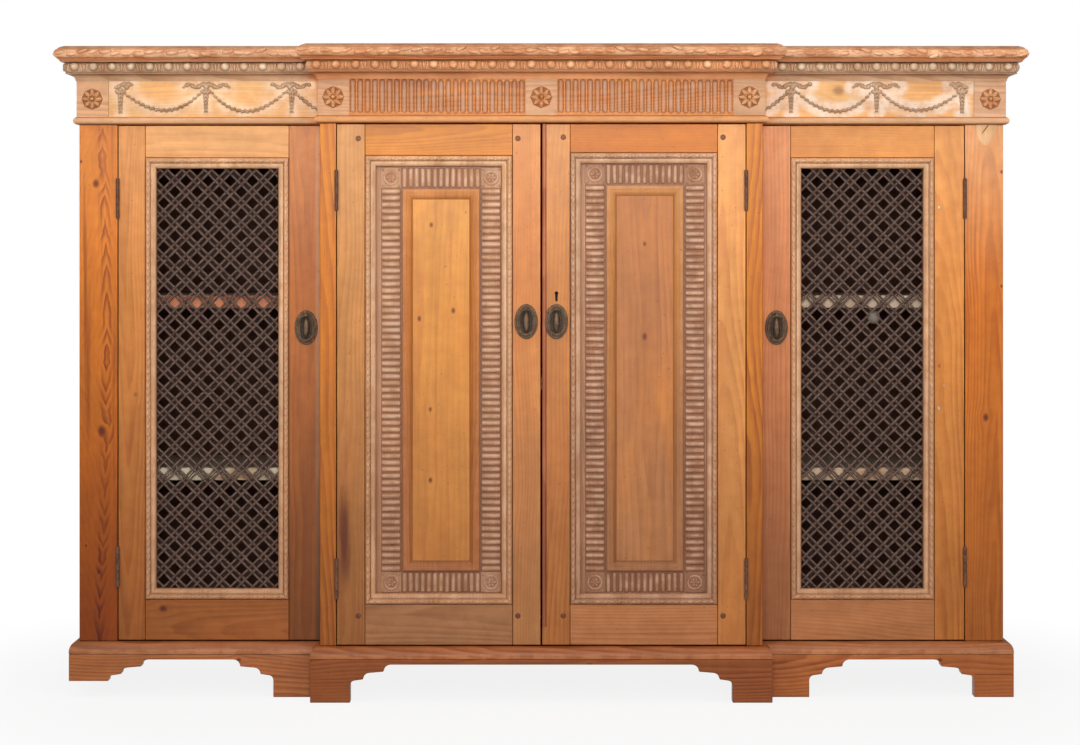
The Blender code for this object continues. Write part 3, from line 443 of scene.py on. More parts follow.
@dataclass(frozen=True)
class Pine:
    """Old waxed pine: early wood, late wood, patches, worn edges, dirt and painted shade in
    crevices, a darker foot that is partly painted shade, a painted sheen on the upper part and old
    pale ground.
    """

    light: Colour
    late: Colour
    patch: Colour
    worn: Colour = tint(232, 178, 128)
    # The colour of dirt and painted shade in crevices and corners.
    dirt: Colour = tint(92, 46, 22)
    ground: Colour = tint(206, 166, 140)
    # The glaze towards the foot: partly painted shade for light that falls off downwards, partly
    # age and dirt.
    foot: Colour = (0.56, 0.50, 0.48)
    # How strongly the painted sheen pales the upper part.
    bleach: float = 0.20
    roughness: float = 0.44
    # A colour on the inner side of a plane; inside the case it is dark and partly painted shade.
    stain: Optional[tuple[str, float, float]] = None
    stain_colour: Colour = tint(70, 38, 24)
    centre_glaze: Optional[Colour] = None

    def toned(self, gain: Colour, **changes: object) -> "Pine":
        """The same wood with its colours turned up or down, and other changes."""
        def turned(colour: Colour) -> Colour:
            """One colour turned up or down."""
            return tuple(min(0.95, value * share) for value, share in zip(colour, gain))
        return replace(self, light=turned(self.light), late=turned(self.late),
                       patch=turned(self.patch), **changes)

    def plain(self, **changes: object) -> "Pine":
        """The same three colours in a finish that is otherwise the usual one."""
        return Pine(self.light, self.late, self.patch, **changes)

    def figure(self, board: Board, late: Socket, flat: Socket, core: object) -> Socket:
        """The wood's colour: year lines, patches, streaks, a painted sheen that pales the upper
        part, and knots.

        Args:
            board: The material's nodes.
            late: The late wood.
            flat: How flat the year rings lie.
            core: The knots' dark cores.

        Returns:
            The colour.
        """
        cut = board.cut
        streak = board.threads(GROWTH.streak, cut.seed)
        lines = board.times(late, board.smooth(streak, *GROWTH.line_breaks),
                            board.smooth(flat, *GROWTH.flat_ramp, cut.calm, GROWTH.flat_gain))
        colour = board.mix(board.times(lines, GROWTH.line_share * cut.bold), self.light, self.late)
        cloud = board.clouds(GROWTH.cloud, 3.0)
        colour = board.mix(board.smooth(cloud, *GROWTH.cloud_ramp), colour, self.patch)
        dark = board.smooth(streak, *GROWTH.streak_ramp, 0.0, GROWTH.streak_share * cut.bold)
        colour = board.mix(dark, colour, self.late)
        # Painted sheen: the upper part is mixed towards a pale cream.
        sheen = board.smooth(board.axis["z"], *GROWTH.sheen_ramp, 0.0, self.bleach)
        colour = board.mix(sheen, colour, GROWTH.sheen_colour)
        return board.mix(board.times(core, GROWTH.knot_share), colour, GROWTH.knot_heart)

    def aged(self, board: Board, colour: Socket) -> Socket:
        """The colour with old ground, worn edges, an uneven tone and a darker foot, which is partly
        painted shade.
        """
        ground = board.times(board.ground, board.smooth(board.mottle, *GROWTH.ground_ramp))
        colour = board.mix(ground, colour, self.ground)
        wear = board.times(board.wear, board.smooth(board.mottle, *GROWTH.wear_ramp))
        colour = board.mix(wear, colour, self.worn)
        blotch = board.clouds(GROWTH.blotch, 11.0)
        colour = board.scaled(colour, board.smooth(blotch, *GROWTH.blotch_ramp))
        shade = board.smooth(board.shade, *GROWTH.shade_ramp)
        colour = board.glaze(shade, colour, GROWTH.shaded)
        # Darker towards the bottom: partly painted shade, as light falls off downwards, partly age
        # and dirt.
        colour = board.glaze(board.smooth(board.axis["z"], *GROWTH.foot_shade_ramp), colour, self.foot)
        if self.centre_glaze:
            off = board.math("ABSOLUTE", board.axis["x"])
            colour = board.glaze(board.smooth(off, *GROWTH.centre_ramp), colour, self.centre_glaze)
        return colour

    def soiled(self, board: Board, colour: Socket) -> Socket:
        """The colour with dirt and painted shade in corners and crevices, specks and, on the inner
        side, a colour of its own that inside the case is dark and partly painted shade.
        """
        # Darkening in corners and crevices: partly dirt, partly painted shade.
        corner = board.smooth(board.closeness(GROWTH.corner_reach), *GROWTH.corner_dirt_and_shade_ramp)
        held = board.times(board.crevice, board.smooth(board.mottle, *GROWTH.grime_and_shade_ramp))
        colour = board.mix(board.math("MAXIMUM", held, corner), colour, self.dirt)
        specks = board.noise(board.place, GROWTH.speck, 1.0)
        colour = board.mix(board.smooth(specks, *GROWTH.speck_ramp), colour, GROWTH.speck_colour)
        # The inner side's own colour: inside the case it is dark and partly painted shade.
        if self.stain:
            letter, edge, way = self.stain
            place = board.axis[letter]
            if letter == "x":
                place = board.math("ABSOLUTE", place)
            inside = board.smooth(board.times(place, way), way * edge - GROWTH.stain_blur,
                                  way * edge + GROWTH.stain_blur)
            colour = board.mix(inside, colour, board.scaled(self.stain_colour, board.shade))
        return colour

    def material(self, name: str, cut: Cut) -> Material:
        """The board's own material.

        Args:
            name: The material's name.
            cut: The board's place in the log.

        Returns:
            The material.
        """
        board = Board(name, cut)
        late, flat, core = board.years()
        colour = self.soiled(board, self.aged(board, self.figure(board, late, flat, core)))
        base, mottle, line = GROWTH.gloss_parts
        rough = board.add(self.roughness + base, board.times(board.mottle, mottle),
                          board.times(late, line))
        line, fibre, mottle = GROWTH.relief_parts
        relief = board.add(board.times(late, line), board.times(board.fibre, fibre),
                           board.times(board.mottle, mottle))
        board.dress(Base_Color=colour, Roughness=rough, Specular_IOR_Level=GROWTH.shine)
        board.bump(relief, *GROWTH.relief)
        return board.material

    def board(self, name: str, grain: Grain, middle: float = 0.0,
              **more: object) -> Material:
        """The material of a board whose name also settles its cut.

        Args:
            name: The material's name.
            grain: The way the fibres run.
            middle: The board's middle across the grain.
            more: More of its cut.

        Returns:
            The material.
        """
        return self.material(name, Cut.of(name.replace(" ", "_"), grain, middle, **more))


@dataclass(frozen=True)
class OldMetal:
    """Dull patinated brass or iron."""

    base: Colour
    rubbed: Colour
    crust: Colour
    metallic: float = 0.75
    roughness: float = 0.42
    patches: float = 130.0
    grit: float = 900.0
    patch_ramp: Point = (0.40, 0.65)
    tone_share: float = 0.8
    grime: Colour = tint(30, 22, 15)
    relief: Point = (0.35, 0.0005)

    def material(self, name: str) -> Material:
        """The finish as a material of that name."""
        tree = Tree(name)
        cloud = tree.noise(tree.place, self.patches, 4.0, 0.6)
        grit = tree.noise(tree.place, self.grit, 2.0)
        colour = tree.mix(tree.smooth(cloud, *self.patch_ramp), self.base, self.crust)
        crevice, wear, _ = tree.tone()
        colour = tree.mix(tree.times(wear, self.tone_share), colour, self.rubbed)
        colour = tree.mix(tree.times(crevice, self.tone_share), colour, self.grime)
        tree.dress(Base_Color=colour, Metallic=self.metallic,
                   Roughness=tree.add(self.roughness - 0.1, tree.times(cloud, 0.25)))
        tree.bump(tree.add(tree.times(cloud, 0.6), tree.times(grit, 0.4)), *self.relief)
        return tree.material


# A weak darkening towards the foot, partly painted shade, for parts that stand high up.
UP_HIGH: Colour = (0.9, 0.9, 0.9)
PINE = Pine(tint(232, 154, 80), tint(186, 104, 46), tint(222, 142, 76))
HONEY = Pine(tint(240, 168, 92), tint(202, 122, 58), tint(232, 154, 80))
PALE = Pine(tint(250, 188, 118), tint(230, 158, 90), tint(250, 208, 152), foot=UP_HIGH)
ORANGE = Pine(tint(234, 146, 62), tint(178, 86, 28), tint(222, 132, 54), bleach=0.08)
RED = Pine(tint(228, 132, 54), tint(142, 56, 14), tint(208, 112, 42), bleach=0.10)
DUSTY = Pine(tint(220, 152, 104), tint(172, 104, 62), tint(210, 144, 100))
RUSSET = Pine(tint(216, 136, 80), tint(168, 92, 48), tint(206, 128, 78))
DARK = Pine(tint(200, 120, 72), tint(146, 74, 38), tint(182, 106, 64), foot=(0.85, 0.83, 0.80))
CORNICE = Pine(tint(214, 146, 102), tint(184, 114, 72), tint(212, 152, 112),
               worn=tint(250, 206, 166), dirt=tint(140, 82, 50), foot=UP_HIGH, bleach=0.0,
               centre_glaze=(0.92, 0.85, 0.78))
BED = Pine(tint(212, 172, 138), tint(184, 140, 104), tint(208, 172, 140),
           worn=tint(250, 230, 202), dirt=tint(120, 88, 62), foot=UP_HIGH, bleach=0.0,
           centre_glaze=(1.14, 0.80, 0.56))
BLOCK = Pine(tint(226, 172, 128), tint(198, 140, 96), tint(226, 178, 138), foot=UP_HIGH,
             bleach=0.0, centre_glaze=(0.86, 0.85, 0.82))
# Its strong darkening towards the foot is partly painted shadow along the door's free edge, partly
# dirt.
SLIP = Pine(tint(216, 158, 112), tint(190, 128, 84), tint(212, 156, 112), bleach=0.0,
            foot=(0.17, 0.13, 0.10))
ROUND = Pine(tint(226, 174, 132), tint(196, 142, 100), tint(224, 176, 136),
             dirt=tint(116, 66, 36), foot=UP_HIGH, bleach=0.0, centre_glaze=(1.0, 0.82, 0.60))
MOULD = Pine(tint(222, 170, 128), tint(198, 144, 102), tint(222, 176, 138),
             worn=tint(236, 192, 152), dirt=tint(136, 86, 56), bleach=0.05,
             foot=(0.70, 0.64, 0.62))
REED = Pine(tint(206, 156, 122), tint(180, 126, 92), tint(206, 164, 134),
            worn=tint(224, 184, 154), dirt=tint(150, 96, 68), bleach=0.05,
            foot=(0.70, 0.66, 0.66))
GROUND = Pine(tint(196, 146, 110), tint(170, 118, 82), tint(194, 146, 114),
              dirt=tint(124, 74, 50), bleach=0.0, foot=(0.70, 0.66, 0.66))
# Darker strips under the reeds: painted shade and dirt in the gaps between them.
REED_GAP_SHADE = GROUND.toned((0.66, 0.58, 0.52))
SWAG = Pine(tint(192, 156, 124), tint(168, 130, 98), tint(190, 154, 124),
            worn=tint(222, 192, 162), dirt=tint(150, 116, 86), foot=UP_HIGH, bleach=0.0)
FLOWER = Pine(tint(196, 128, 78), tint(164, 96, 52), tint(192, 128, 84),
              worn=tint(240, 194, 142), dirt=tint(122, 68, 36), foot=UP_HIGH, bleach=0.0)
BEAD = Pine(tint(198, 120, 82), tint(152, 80, 48), tint(186, 110, 74), bleach=0.0)
PEG = Pine(tint(142, 88, 60), tint(112, 64, 40), tint(134, 82, 56), dirt=tint(80, 44, 28),
           bleach=0.0)
FILLER = Pine(tint(250, 220, 186), tint(240, 204, 166), tint(252, 226, 196), bleach=0.0)
SHELF = Pine(tint(214, 160, 116), tint(170, 108, 66), tint(196, 132, 92), foot=(1.0, 1.0, 1.0))
RAW = Pine(tint(224, 178, 128), tint(188, 136, 88), tint(208, 164, 118), foot=UP_HIGH,
           roughness=0.7)
BRASS = OldMetal(tint(112, 85, 60), tint(152, 126, 94), tint(74, 55, 40), 0.40, 0.48)
WIRE = OldMetal(tint(110, 86, 74), tint(160, 136, 120), tint(80, 58, 48), 0.35, 0.55)
BAND = OldMetal(tint(54, 38, 31), tint(70, 52, 44), tint(42, 28, 22), 0.0, 0.9)
PUTTY = OldMetal(tint(104, 92, 82), tint(130, 118, 106), tint(84, 72, 62), 0.0, 0.8)
SOOT = OldMetal(tint(34, 26, 22), tint(58, 46, 38), tint(22, 17, 14), 0.0, 0.8)
IRON = OldMetal(tint(112, 76, 54), tint(146, 106, 80), tint(84, 54, 38), 0.2, 0.6)


WELD = 1e-6
FLAT_ANGLE = math.radians(0.5)
SHARP_ANGLE = math.radians(35)
CRISP_ANGLE = 40.0
EASING = 0.0012
EDGE_WEAR = 0.7
PAST = 0.0020


def circle(steps: int) -> np.ndarray:
    """Angles at an even pitch all the way round."""
    return np.linspace(0, 2 * math.pi, steps, endpoint=False)


def stretches(count: int, *parts: tuple[int, Optional[int], float]) -> np.ndarray:
    """A value for each point of a section, set from one point to another and 0 elsewhere."""
    values = np.zeros(count)
    for start, end, value in parts:
        values[start:end] = value
    return values


class Pile:
    """The points, faces and tones of one piece."""

    def __init__(self) -> None:
        """Start with nothing."""
        self.points: list[np.ndarray] = []
        self.faces: list[tuple[int, ...]] = []
        self.tones: list[np.ndarray] = []
        self.count = 0

    def add(self, points: np.ndarray, faces: Sequence[Sequence[int]], tone: object = 0.0) -> None:
        """Add a form.

        Args:
            points: Its points, one row each.
            faces: Its faces, by the points' numbers.
            tone: Its dirt, wear and old ground, for all points or for each.
        """
        self.points.append(np.asarray(points, float))
        start = self.count
        self.faces.extend(tuple(start + int(i) for i in face) for face in faces)
        self.tones.append(np.broadcast_to(np.asarray(tone, float), (len(points), 3)).copy())
        self.count += len(points)

    def grid(self, points: np.ndarray, ring: bool = False, loop: bool = False,
             crevice: object = 0.0, wear: object = 0.0, ground: object = 0.0) -> None:
        """Add rows of points joined into a skin.

        Args:
            points: Rows of points, in rows by columns by 3.
            ring: Whether each row closes on itself; open ends are then capped.
            loop: Whether the last row joins the first.
            crevice: The dirt and painted shade on each point.
            wear: The wear on each point.
            ground: The old ground on each point.
        """
        rows, columns = points.shape[:2]
        index = np.arange(rows * columns).reshape(rows, columns)
        wide = np.hstack([index, index[:, :1]]) if ring else index
        tall = np.vstack([wide, wide[:1]]) if loop else wide
        corners = (tall[:-1, :-1], tall[:-1, 1:], tall[1:, 1:], tall[1:, :-1])
        faces: list = np.stack(corners, -1).reshape(-1, 4).tolist()
        if ring and not loop:
            faces += [index[0][::-1].tolist(), index[-1].tolist()]
        tone = np.stack([np.broadcast_to(np.asarray(value, float), (rows, columns))
                         for value in (crevice, wear, ground)], -1)
        self.add(points.reshape(-1, 3), faces, tone.reshape(-1, 3))

    def slab(self, front: np.ndarray, back: float, **tone: object) -> None:
        """Add a board whose front is a fine skin.

        Args:
            front: The front's points, in rows by columns by 3.
            back: The flat back's place in y.
            tone: The front's tones, as for a grid.
        """
        rows, columns = front.shape[:2]
        index = np.arange(rows * columns).reshape(rows, columns)
        rim = np.concatenate([index[0], index[1:, -1], index[-1, -2::-1], index[-2:0:-1, 0]])
        rear = front.reshape(-1, 3)[rim].copy()
        rear[:, 1] = back
        start, size = self.count, len(rim)
        self.grid(front, **tone)
        behind = self.count
        self.add(rear, [range(size)])
        for i in range(size):
            after = (i + 1) % size
            edge = start + int(rim[i]), start + int(rim[after])
            self.faces.append((*edge, behind + after, behind + i))

    def sweep(self, path: Sequence[Point], profile: np.ndarray, facing: Facing,
              closed: bool = False, **tone: object) -> None:
        """Add a moulding, mitred at each corner of its path.

        Args:
            path: The corners, with right angles between them.
            profile: The section, as reach to the path's right and height out of its plane.
            facing: The plane of the path.
            closed: Whether the path comes back to its start.
            tone: The tones on each point of the section, as for a grid.
        """
        corners = [np.array(place, float) for place in path]
        follow = corners[1:] + corners[:1]
        ways = [after - before for before, after in zip(corners, follow)]
        runs = [way / np.linalg.norm(way) for way in ways]
        turn = [np.array((run[1], -run[0])) for run in runs]
        rows = []
        for i, corner in enumerate(corners):
            before = turn[i - 1] if closed or i > 0 else np.zeros(2)
            after = turn[i] if closed or i < len(corners) - 1 else np.zeros(2)
            flat = corner[None, :] + profile[:, :1] * (before + after)[None, :]
            rows.append(np.hstack([flat, profile[:, 1:]]))
        basis = np.array(facing.value, float)
        self.grid(np.array(rows) @ basis.T, ring=True, loop=closed, **tone)

    def turned(self, centre: Sequence[float], axes: str, rings: Sequence[Colour], steps: int,
               **tone: object) -> None:
        """Add a turned form.

        Args:
            centre: A point on its axis.
            axes: The letters of the two ways across it and of its axis.
            rings: For each ring its two radii and its place along the axis.
            steps: Points in each ring.
            tone: The tones, as for a grid.
        """
        turn = circle(steps)
        first, second, axis = ("xyz".index(letter) for letter in axes)
        rows = np.empty((len(rings), steps, 3))
        for row, (wide, tall, place) in zip(rows, rings):
            row[:, first] = centre[first] + wide * np.cos(turn)
            row[:, second] = centre[second] + tall * np.sin(turn)
            row[:, axis] = centre[axis] + place
        self.grid(rows, ring=True, **tone)

    def stamp(self, form: "Form", *places: Matrix) -> None:
        """Add copies of a form, one at each place."""
        raw = np.hstack([form.points, np.ones((len(form.points), 1))])
        for place in places:
            self.add((raw @ np.array(place).T)[:, :3], form.faces, form.tone)

    def build(self, name: str, material: Material, body: str,
              angle: float = CRISP_ANGLE) -> Piece:
        """Make the piece.

        Args:
            name: Its name.
            material: Its finish.
            body: The body that it rides on.
            angle: Edges sharper than this many degrees stay crisp.

        Returns:
            The object.
        """
        mesh = bpy.data.meshes.new(name)
        mesh.from_pydata(np.vstack(self.points).tolist(), [], self.faces)
        shape = bmesh.new()
        shape.from_mesh(mesh)
        bmesh.ops.recalc_face_normals(shape, faces=shape.faces)
        shape.to_mesh(mesh)
        shape.free()
        value = mesh.attributes.new("tone", "FLOAT_VECTOR", "POINT")
        value.data.foreach_set("vector", np.vstack(self.tones).astype(np.float32).reshape(-1))
        return settle(name, mesh, material, body, angle)


@dataclass
class Form:
    """A small carved form that is stamped many times."""

    points: np.ndarray
    faces: list[tuple[int, ...]]
    tone: np.ndarray

    @staticmethod
    def cushion(spine: np.ndarray, ray: np.ndarray, rise: float, sink: float = 0.001,
                levels: int = 4, dirty: float = 1.0, worn: float = 1.0) -> "Form":
        """A rounded form on a flat base.

        Args:
            spine: For each point of the outline, the point of the ridge that it belongs to.
            ray: For each point of the outline, its way out from the ridge.
            rise: The ridge's height.
            sink: How far the form goes into what carries it.
            levels: Rings between the foot and the ridge.
            dirty: The dirt and painted shade at its foot.
            worn: The wear on its ridge.

        Returns:
            The form, out along its third axis.
        """
        count = len(spine)
        rows, values = [], []
        for level in range(-1, levels + 1):
            turn = max(level, 0) / levels * math.pi / 2
            flat = spine + ray * math.cos(turn)
            height = rise * math.sin(turn) if level >= 0 else -sink
            rows.append(np.column_stack([flat, np.full(count, height)]))
            tone = (dirty * (1 - math.sin(turn)) ** 1.4, worn * math.sin(turn) ** 3, 0.0)
            values.append(np.tile(tone, (count, 1)))
        index = np.arange(len(rows) * count).reshape(len(rows), count)
        faces = [tuple(index[0][::-1])]
        for low, high in zip(index, index[1:]):
            for i in range(count):
                after = (i + 1) % count
                faces.append((low[i], low[after], high[after], high[i]))
        return Form(np.vstack(rows), faces, np.vstack(values)).welded()

    def welded(self) -> "Form":
        """The same form with points at one place joined and thin faces left out."""
        _, first, back = np.unique(np.round(self.points, 6), axis=0, return_index=True,
                                   return_inverse=True)
        back = np.asarray(back).reshape(-1)
        faces: list[tuple[int, ...]] = []
        seen: set[tuple[int, ...]] = set()
        for face in self.faces:
            loop: list[int] = []
            for i in face:
                if back[i] not in loop:
                    loop.append(int(back[i]))
            if len(loop) > 2 and tuple(sorted(loop)) not in seen:
                seen.add(tuple(sorted(loop)))
                faces.append(tuple(loop))
        return Form(self.points[first], faces, self.tone[first])

    @staticmethod
    def oval(width: float, height: float, rise: float, steps: int = 12, **more: float) -> "Form":
        """A dome over an ellipse."""
        turn = circle(steps)
        ray = np.column_stack([np.cos(turn) * width / 2, np.sin(turn) * height / 2])
        return Form.cushion(np.zeros_like(ray), ray, rise, **more)

    @staticmethod
    def pill(length: float, width: float, rise: float, steps: int = 4, blunt: float = 1.0,
             **more: float) -> "Form":
        """A round bar along the first axis, with squarer ends where blunt is small."""
        half = (length - width * blunt) / 2
        turn = np.radians(np.concatenate([np.linspace(-90, 90, steps + 1),
                                          np.linspace(90, 270, steps + 1)]))
        ray = np.column_stack([np.cos(turn) * blunt, np.sin(turn)]) * width / 2
        spine = np.column_stack([np.repeat([half, -half], steps + 1), np.zeros(2 * steps + 2)])
        return Form.cushion(spine, ray, rise, **more)

    @staticmethod
    def leaf(length: float, width: float, rise: float, steps: int = 10, **more: float) -> "Form":
        """A drop-shaped leaf along the first axis, with its root at the origin."""
        turn = circle(steps)
        along = length * (0.5 - 0.5 * np.cos(turn))
        across = np.sin(turn) * width / 2 * (1.25 - 0.5 * along / length)
        edge = np.column_stack([along, across])
        spine = np.column_stack([length * 0.15 + along * 0.7, np.zeros(steps)])
        return Form.cushion(spine, edge - spine, rise, **more)


def settle(name: str, mesh: Mesh, material: Material, body: str,
           angle: float = CRISP_ANGLE) -> Piece:
    """Put a finished mesh into the scene as a piece that rides on a body.

    Args:
        name: The piece's name.
        mesh: Its mesh, in the cabinet's own place.
        material: Its finish.
        body: The body that it rides on.
        angle: Edges sharper than this many degrees stay crisp.

    Returns:
        The object.
    """
    mesh.materials.append(material)
    mesh.polygons.foreach_set("use_smooth", np.ones(len(mesh.polygons), bool))
    mesh.set_sharp_from_angle(angle=math.radians(angle))
    piece = bpy.data.objects.new(name, mesh)
    bpy.context.scene.collection.objects.link(piece)
    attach(piece, body)
    return piece


def soften(shape: bmesh.types.BMesh, width: float, name: str) -> Mesh:
    """Round a shape's sharp edges a little and mark them as worn.

    Args:
        shape: The shape, which is used up.
        width: The rounding's width.
        name: The new mesh's name.

    Returns:
        The mesh.
    """
    bmesh.ops.remove_doubles(shape, verts=shape.verts, dist=WELD)
    bmesh.ops.dissolve_limit(shape, angle_limit=FLAT_ANGLE, verts=shape.verts, edges=shape.edges)
    sharp = [edge for edge in shape.edges
             if len(edge.link_faces) == 2 and edge.calc_face_angle(0) > SHARP_ANGLE]
    made = bmesh.ops.bevel(shape, geom=sharp, offset=width, offset_type="OFFSET", segments=2,
                           profile=0.6, affect="EDGES", clamp_overlap=True)
    worn = set(made["faces"])
    layer = shape.faces.layers.float_vector.new("tone")
    for face in shape.faces:
        face[layer] = (0.0, EDGE_WEAR if face in worn else 0.0, 0.0)
    mesh = bpy.data.meshes.new(name)
    shape.to_mesh(mesh)
    shape.free()
    return mesh


@dataclass(frozen=True)
class Recess:
    """A cut from front to back: its outline across and up, and its start and end in y."""

    outline: tuple[Point, ...]
    front: float
    back: float

    @classmethod
    def oblong(cls, low: Sequence[float], high: Sequence[float]) -> "Recess":
        """A square-cornered cut between two corners."""
        outline = (low[0], low[2]), (high[0], low[2]), (high[0], high[2]), (low[0], high[2])
        return cls(outline, low[1], high[1])


def pierced(mesh: Mesh, cut: Recess) -> Mesh:
    """A mesh with a cut made in it; the old mesh is used up."""
    shape = bmesh.new()
    rings = [[shape.verts.new((x, y, z)) for x, z in cut.outline]
             for y in (cut.front, cut.back)]
    shape.faces.new(rings[0])
    shape.faces.new(rings[1][::-1])
    for i in range(len(cut.outline)):
        shape.faces.new((rings[0][i - 1], rings[1][i - 1], rings[1][i], rings[0][i]))
    bmesh.ops.recalc_face_normals(shape, faces=shape.faces)
    tool = bpy.data.meshes.new("cutter")
    shape.to_mesh(tool)
    shape.free()
    board, cutter = (bpy.data.objects.new(part.name, part) for part in (mesh, tool))
    for item in (board, cutter):
        bpy.context.scene.collection.objects.link(item)
    hole = board.modifiers.new("hole", "BOOLEAN")
    hole.operation, hole.solver, hole.object = "DIFFERENCE", "EXACT", cutter
    view = bpy.context.evaluated_depsgraph_get()
    made = bpy.data.meshes.new_from_object(board.evaluated_get(view))
    for item in (board, cutter):
        bpy.data.objects.remove(item)
    return made


def plank(name: str, low: Sequence[float], high: Sequence[float], material: Material, body: str,
          width: float = EASING, cuts: Sequence[Recess] = ()) -> Piece:
    """A straight board with eased edges.

    Args:
        name: The piece's name.
        low: Its lowest corner.
        high: Its highest corner.
        material: Its finish.
        body: The body that it rides on.
        width: The easing of its edges.
        cuts: The holes and pockets in it.

    Returns:
        The object.
    """
    low, high = Vector(low), Vector(high)
    shape = bmesh.new()
    place = Matrix.Translation((low + high) / 2) @ Matrix.Diagonal((*(high - low), 1))
    bmesh.ops.create_cube(shape, size=1.0, matrix=place)
    mesh = soften(shape, width, name)
    for cut in cuts:
        mesh = pierced(mesh, cut)
    piece = settle(name, mesh, material, body)
    piece.modifiers.new("flat faces", "WEIGHTED_NORMAL")
    return piece


def eased(node: str, material: Material, body: str, width: float = EASING) -> Piece:
    """A solid's own shape with eased and worn edges, standing for the solid.

    Args:
        node: The solid.
        material: Its finish.
        body: The body that it rides on.
        width: The easing of its edges.

    Returns:
        The object.
    """
    shape = bmesh.new()
    shape.from_mesh(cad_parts[node].data)
    name = f"{node}_wood"
    piece = settle(name, soften(shape, width, name), material, body)
    piece.modifiers.new("flat faces", "WEIGHTED_NORMAL")
    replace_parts(piece, node)
    return piece


def finish_node(node: str, material: Material) -> None:
    """Give a solid that keeps its shape a better finish."""
    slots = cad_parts[node].data.materials
    slots.clear()
    slots.append(material)


def curve(centre: Point, radii: Point, start: float, end: float, steps: int) -> list[Point]:
    """Points on an ellipse's arc, in degrees, both ends included."""
    turn = np.radians(np.linspace(start, end, steps + 1))
    return [(centre[0] + radii[0] * math.cos(a), centre[1] + radii[1] * math.sin(a))
            for a in turn]


def hoop(centre: Sequence[float], radii: Point, thick: np.ndarray, sides: int) -> np.ndarray:
    """The skin of an upright ring.

    Args:
        centre: Its middle.
        radii: Its half width and half height.
        thick: Its half thickness at each point round it.
        sides: Points round its section.

    Returns:
        Its points, in rows round it.
    """
    turn, section = circle(len(thick))[:, None], circle(sides)
    reach = thick[:, None] * np.cos(section)
    return np.stack([centre[0] + (radii[0] + reach) * np.cos(turn),
                     centre[1] - thick[:, None] * np.sin(section),
                     centre[2] + (radii[1] + reach) * np.sin(turn)], -1)


def on_face(facing: Facing, across: float, up: float, out: float, turn: float = 0.0,
            size: float = 1.0) -> Matrix:
    """Where a stamped form stands on a face.

    Args:
        facing: The face's direction.
        across: Its place across the face.
        up: Its place up the face.
        out: How far out the face is.
        turn: Its turn on the face, in degrees.
        size: Its scale.

    Returns:
        The matrix.
    """
    basis = facing.matrix()
    place = Matrix.Translation(basis @ Vector((across, up, out)))
    spin = Matrix.Rotation(math.radians(turn), 4, "Z")
    return place @ basis.to_4x4() @ spin @ Matrix.Scale(size, 4)


def rosette(pile: Pile, x: float, z: float, out: float, width: float, petals: int = 8) -> None:
    """Add a patera: two rings of petals round a boss, on a shallow disc.

    Args:
        pile: The piece.
        x: Its centre across the front.
        z: Its centre's height.
        out: How far out the face is.
        width: Its width.
        petals: Petals in each ring.
    """
    radius = width / 2
    disc = Form.oval(radius * 1.9, radius * 1.9, radius * 0.05, 24, worn=0.0)
    # The disc is darkened all over: dirt and painted shade under the petals.
    disc.tone[:, 0] = 0.5
    middle = on_face(Facing.FRONT, x, z, out)
    pile.stamp(disc, middle)
    outer = Form.leaf(radius * 0.74, radius * 0.56, radius * 0.20, sink=radius * 0.06, worn=0.6)
    inner = Form.leaf(radius * 0.40, radius * 0.32, radius * 0.16, steps=8, worn=0.3)
    for i in range(petals):
        for form, step, away, lift in ((outer, i, 0.26, 0.0), (inner, i + 0.5, 0.18, 0.07)):
            turn = 360 * step / petals
            lean = math.radians(turn)
            pile.stamp(form, on_face(Facing.FRONT, x + radius * away * math.cos(lean),
                                     z + radius * away * math.sin(lean), out + radius * lift,
                                     turn))
    pile.stamp(Form.oval(radius * 0.48, radius * 0.48, radius * 0.38, dirty=0.9), middle)


def lifted(section: Sequence[Point], level: float) -> list[Point]:
    """A section drawn from zero, raised to a level."""
    return [(reach, level + up) for reach, up in section]


@dataclass(frozen=True)
class Plan:
    """The cabinet's outline in plan and its main levels."""

    half: float = 0.8686
    centre_half: float = 0.4110
    wing_y: float = -0.1290
    centre_y: float = -0.1890
    back_y: float = 0.2310
    frieze_foot: float = 1.0737
    astragal_top: float = 1.0877
    bed_foot: float = 1.1554
    cornice_foot: float = 1.1897
    top: float = 1.2197
    rosette_level: float = 1.12155
    tuck: float = 0.004

    @property
    def frieze_top(self) -> float:
        """The frieze boards' top, tucked up behind the bed moulding."""
        return self.bed_foot + self.tuck

    def path(self) -> list[Point]:
        """The front and ends from back left to back right."""
        right = [(self.centre_half, self.centre_y), (self.centre_half, self.wing_y),
                 (self.half, self.wing_y), (self.half, self.back_y)]
        return [(-x, y) for x, y in reversed(right)] + right

    def runs(self) -> list[tuple[Facing, float, float, float]]:
        """The straight faces that show, as facing, ends and distance out."""
        return [(Facing.FRONT, -self.half, -self.centre_half, -self.wing_y),
                (Facing.FRONT, -self.centre_half, self.centre_half, -self.centre_y),
                (Facing.FRONT, self.centre_half, self.half, -self.wing_y),
                (Facing.LEFT, -self.back_y, -self.wing_y, self.half),
                (Facing.RIGHT, self.wing_y, self.back_y, self.half)]


PLAN = Plan()


@dataclass(frozen=True)
class Lamp:
    """A soft round light: its power is in watts and its spread in degrees."""

    name: str
    place: Colour
    target: Colour
    size: float
    power: float
    spread: float = 180.0

    def build(self) -> None:
        """Hang the light and aim it."""
        light = bpy.data.lights.new(self.name, "AREA")
        light.shape, light.size, light.energy = "DISK", self.size, self.power
        light.spread = math.radians(self.spread)
        lamp = bpy.data.objects.new(self.name, light)
        lamp.visible_camera = False
        lamp.location = self.place
        aim = Vector(self.target) - Vector(self.place)
        lamp.rotation_euler = aim.to_track_quat("-Z", "Y").to_euler()
        bpy.context.scene.collection.objects.link(lamp)


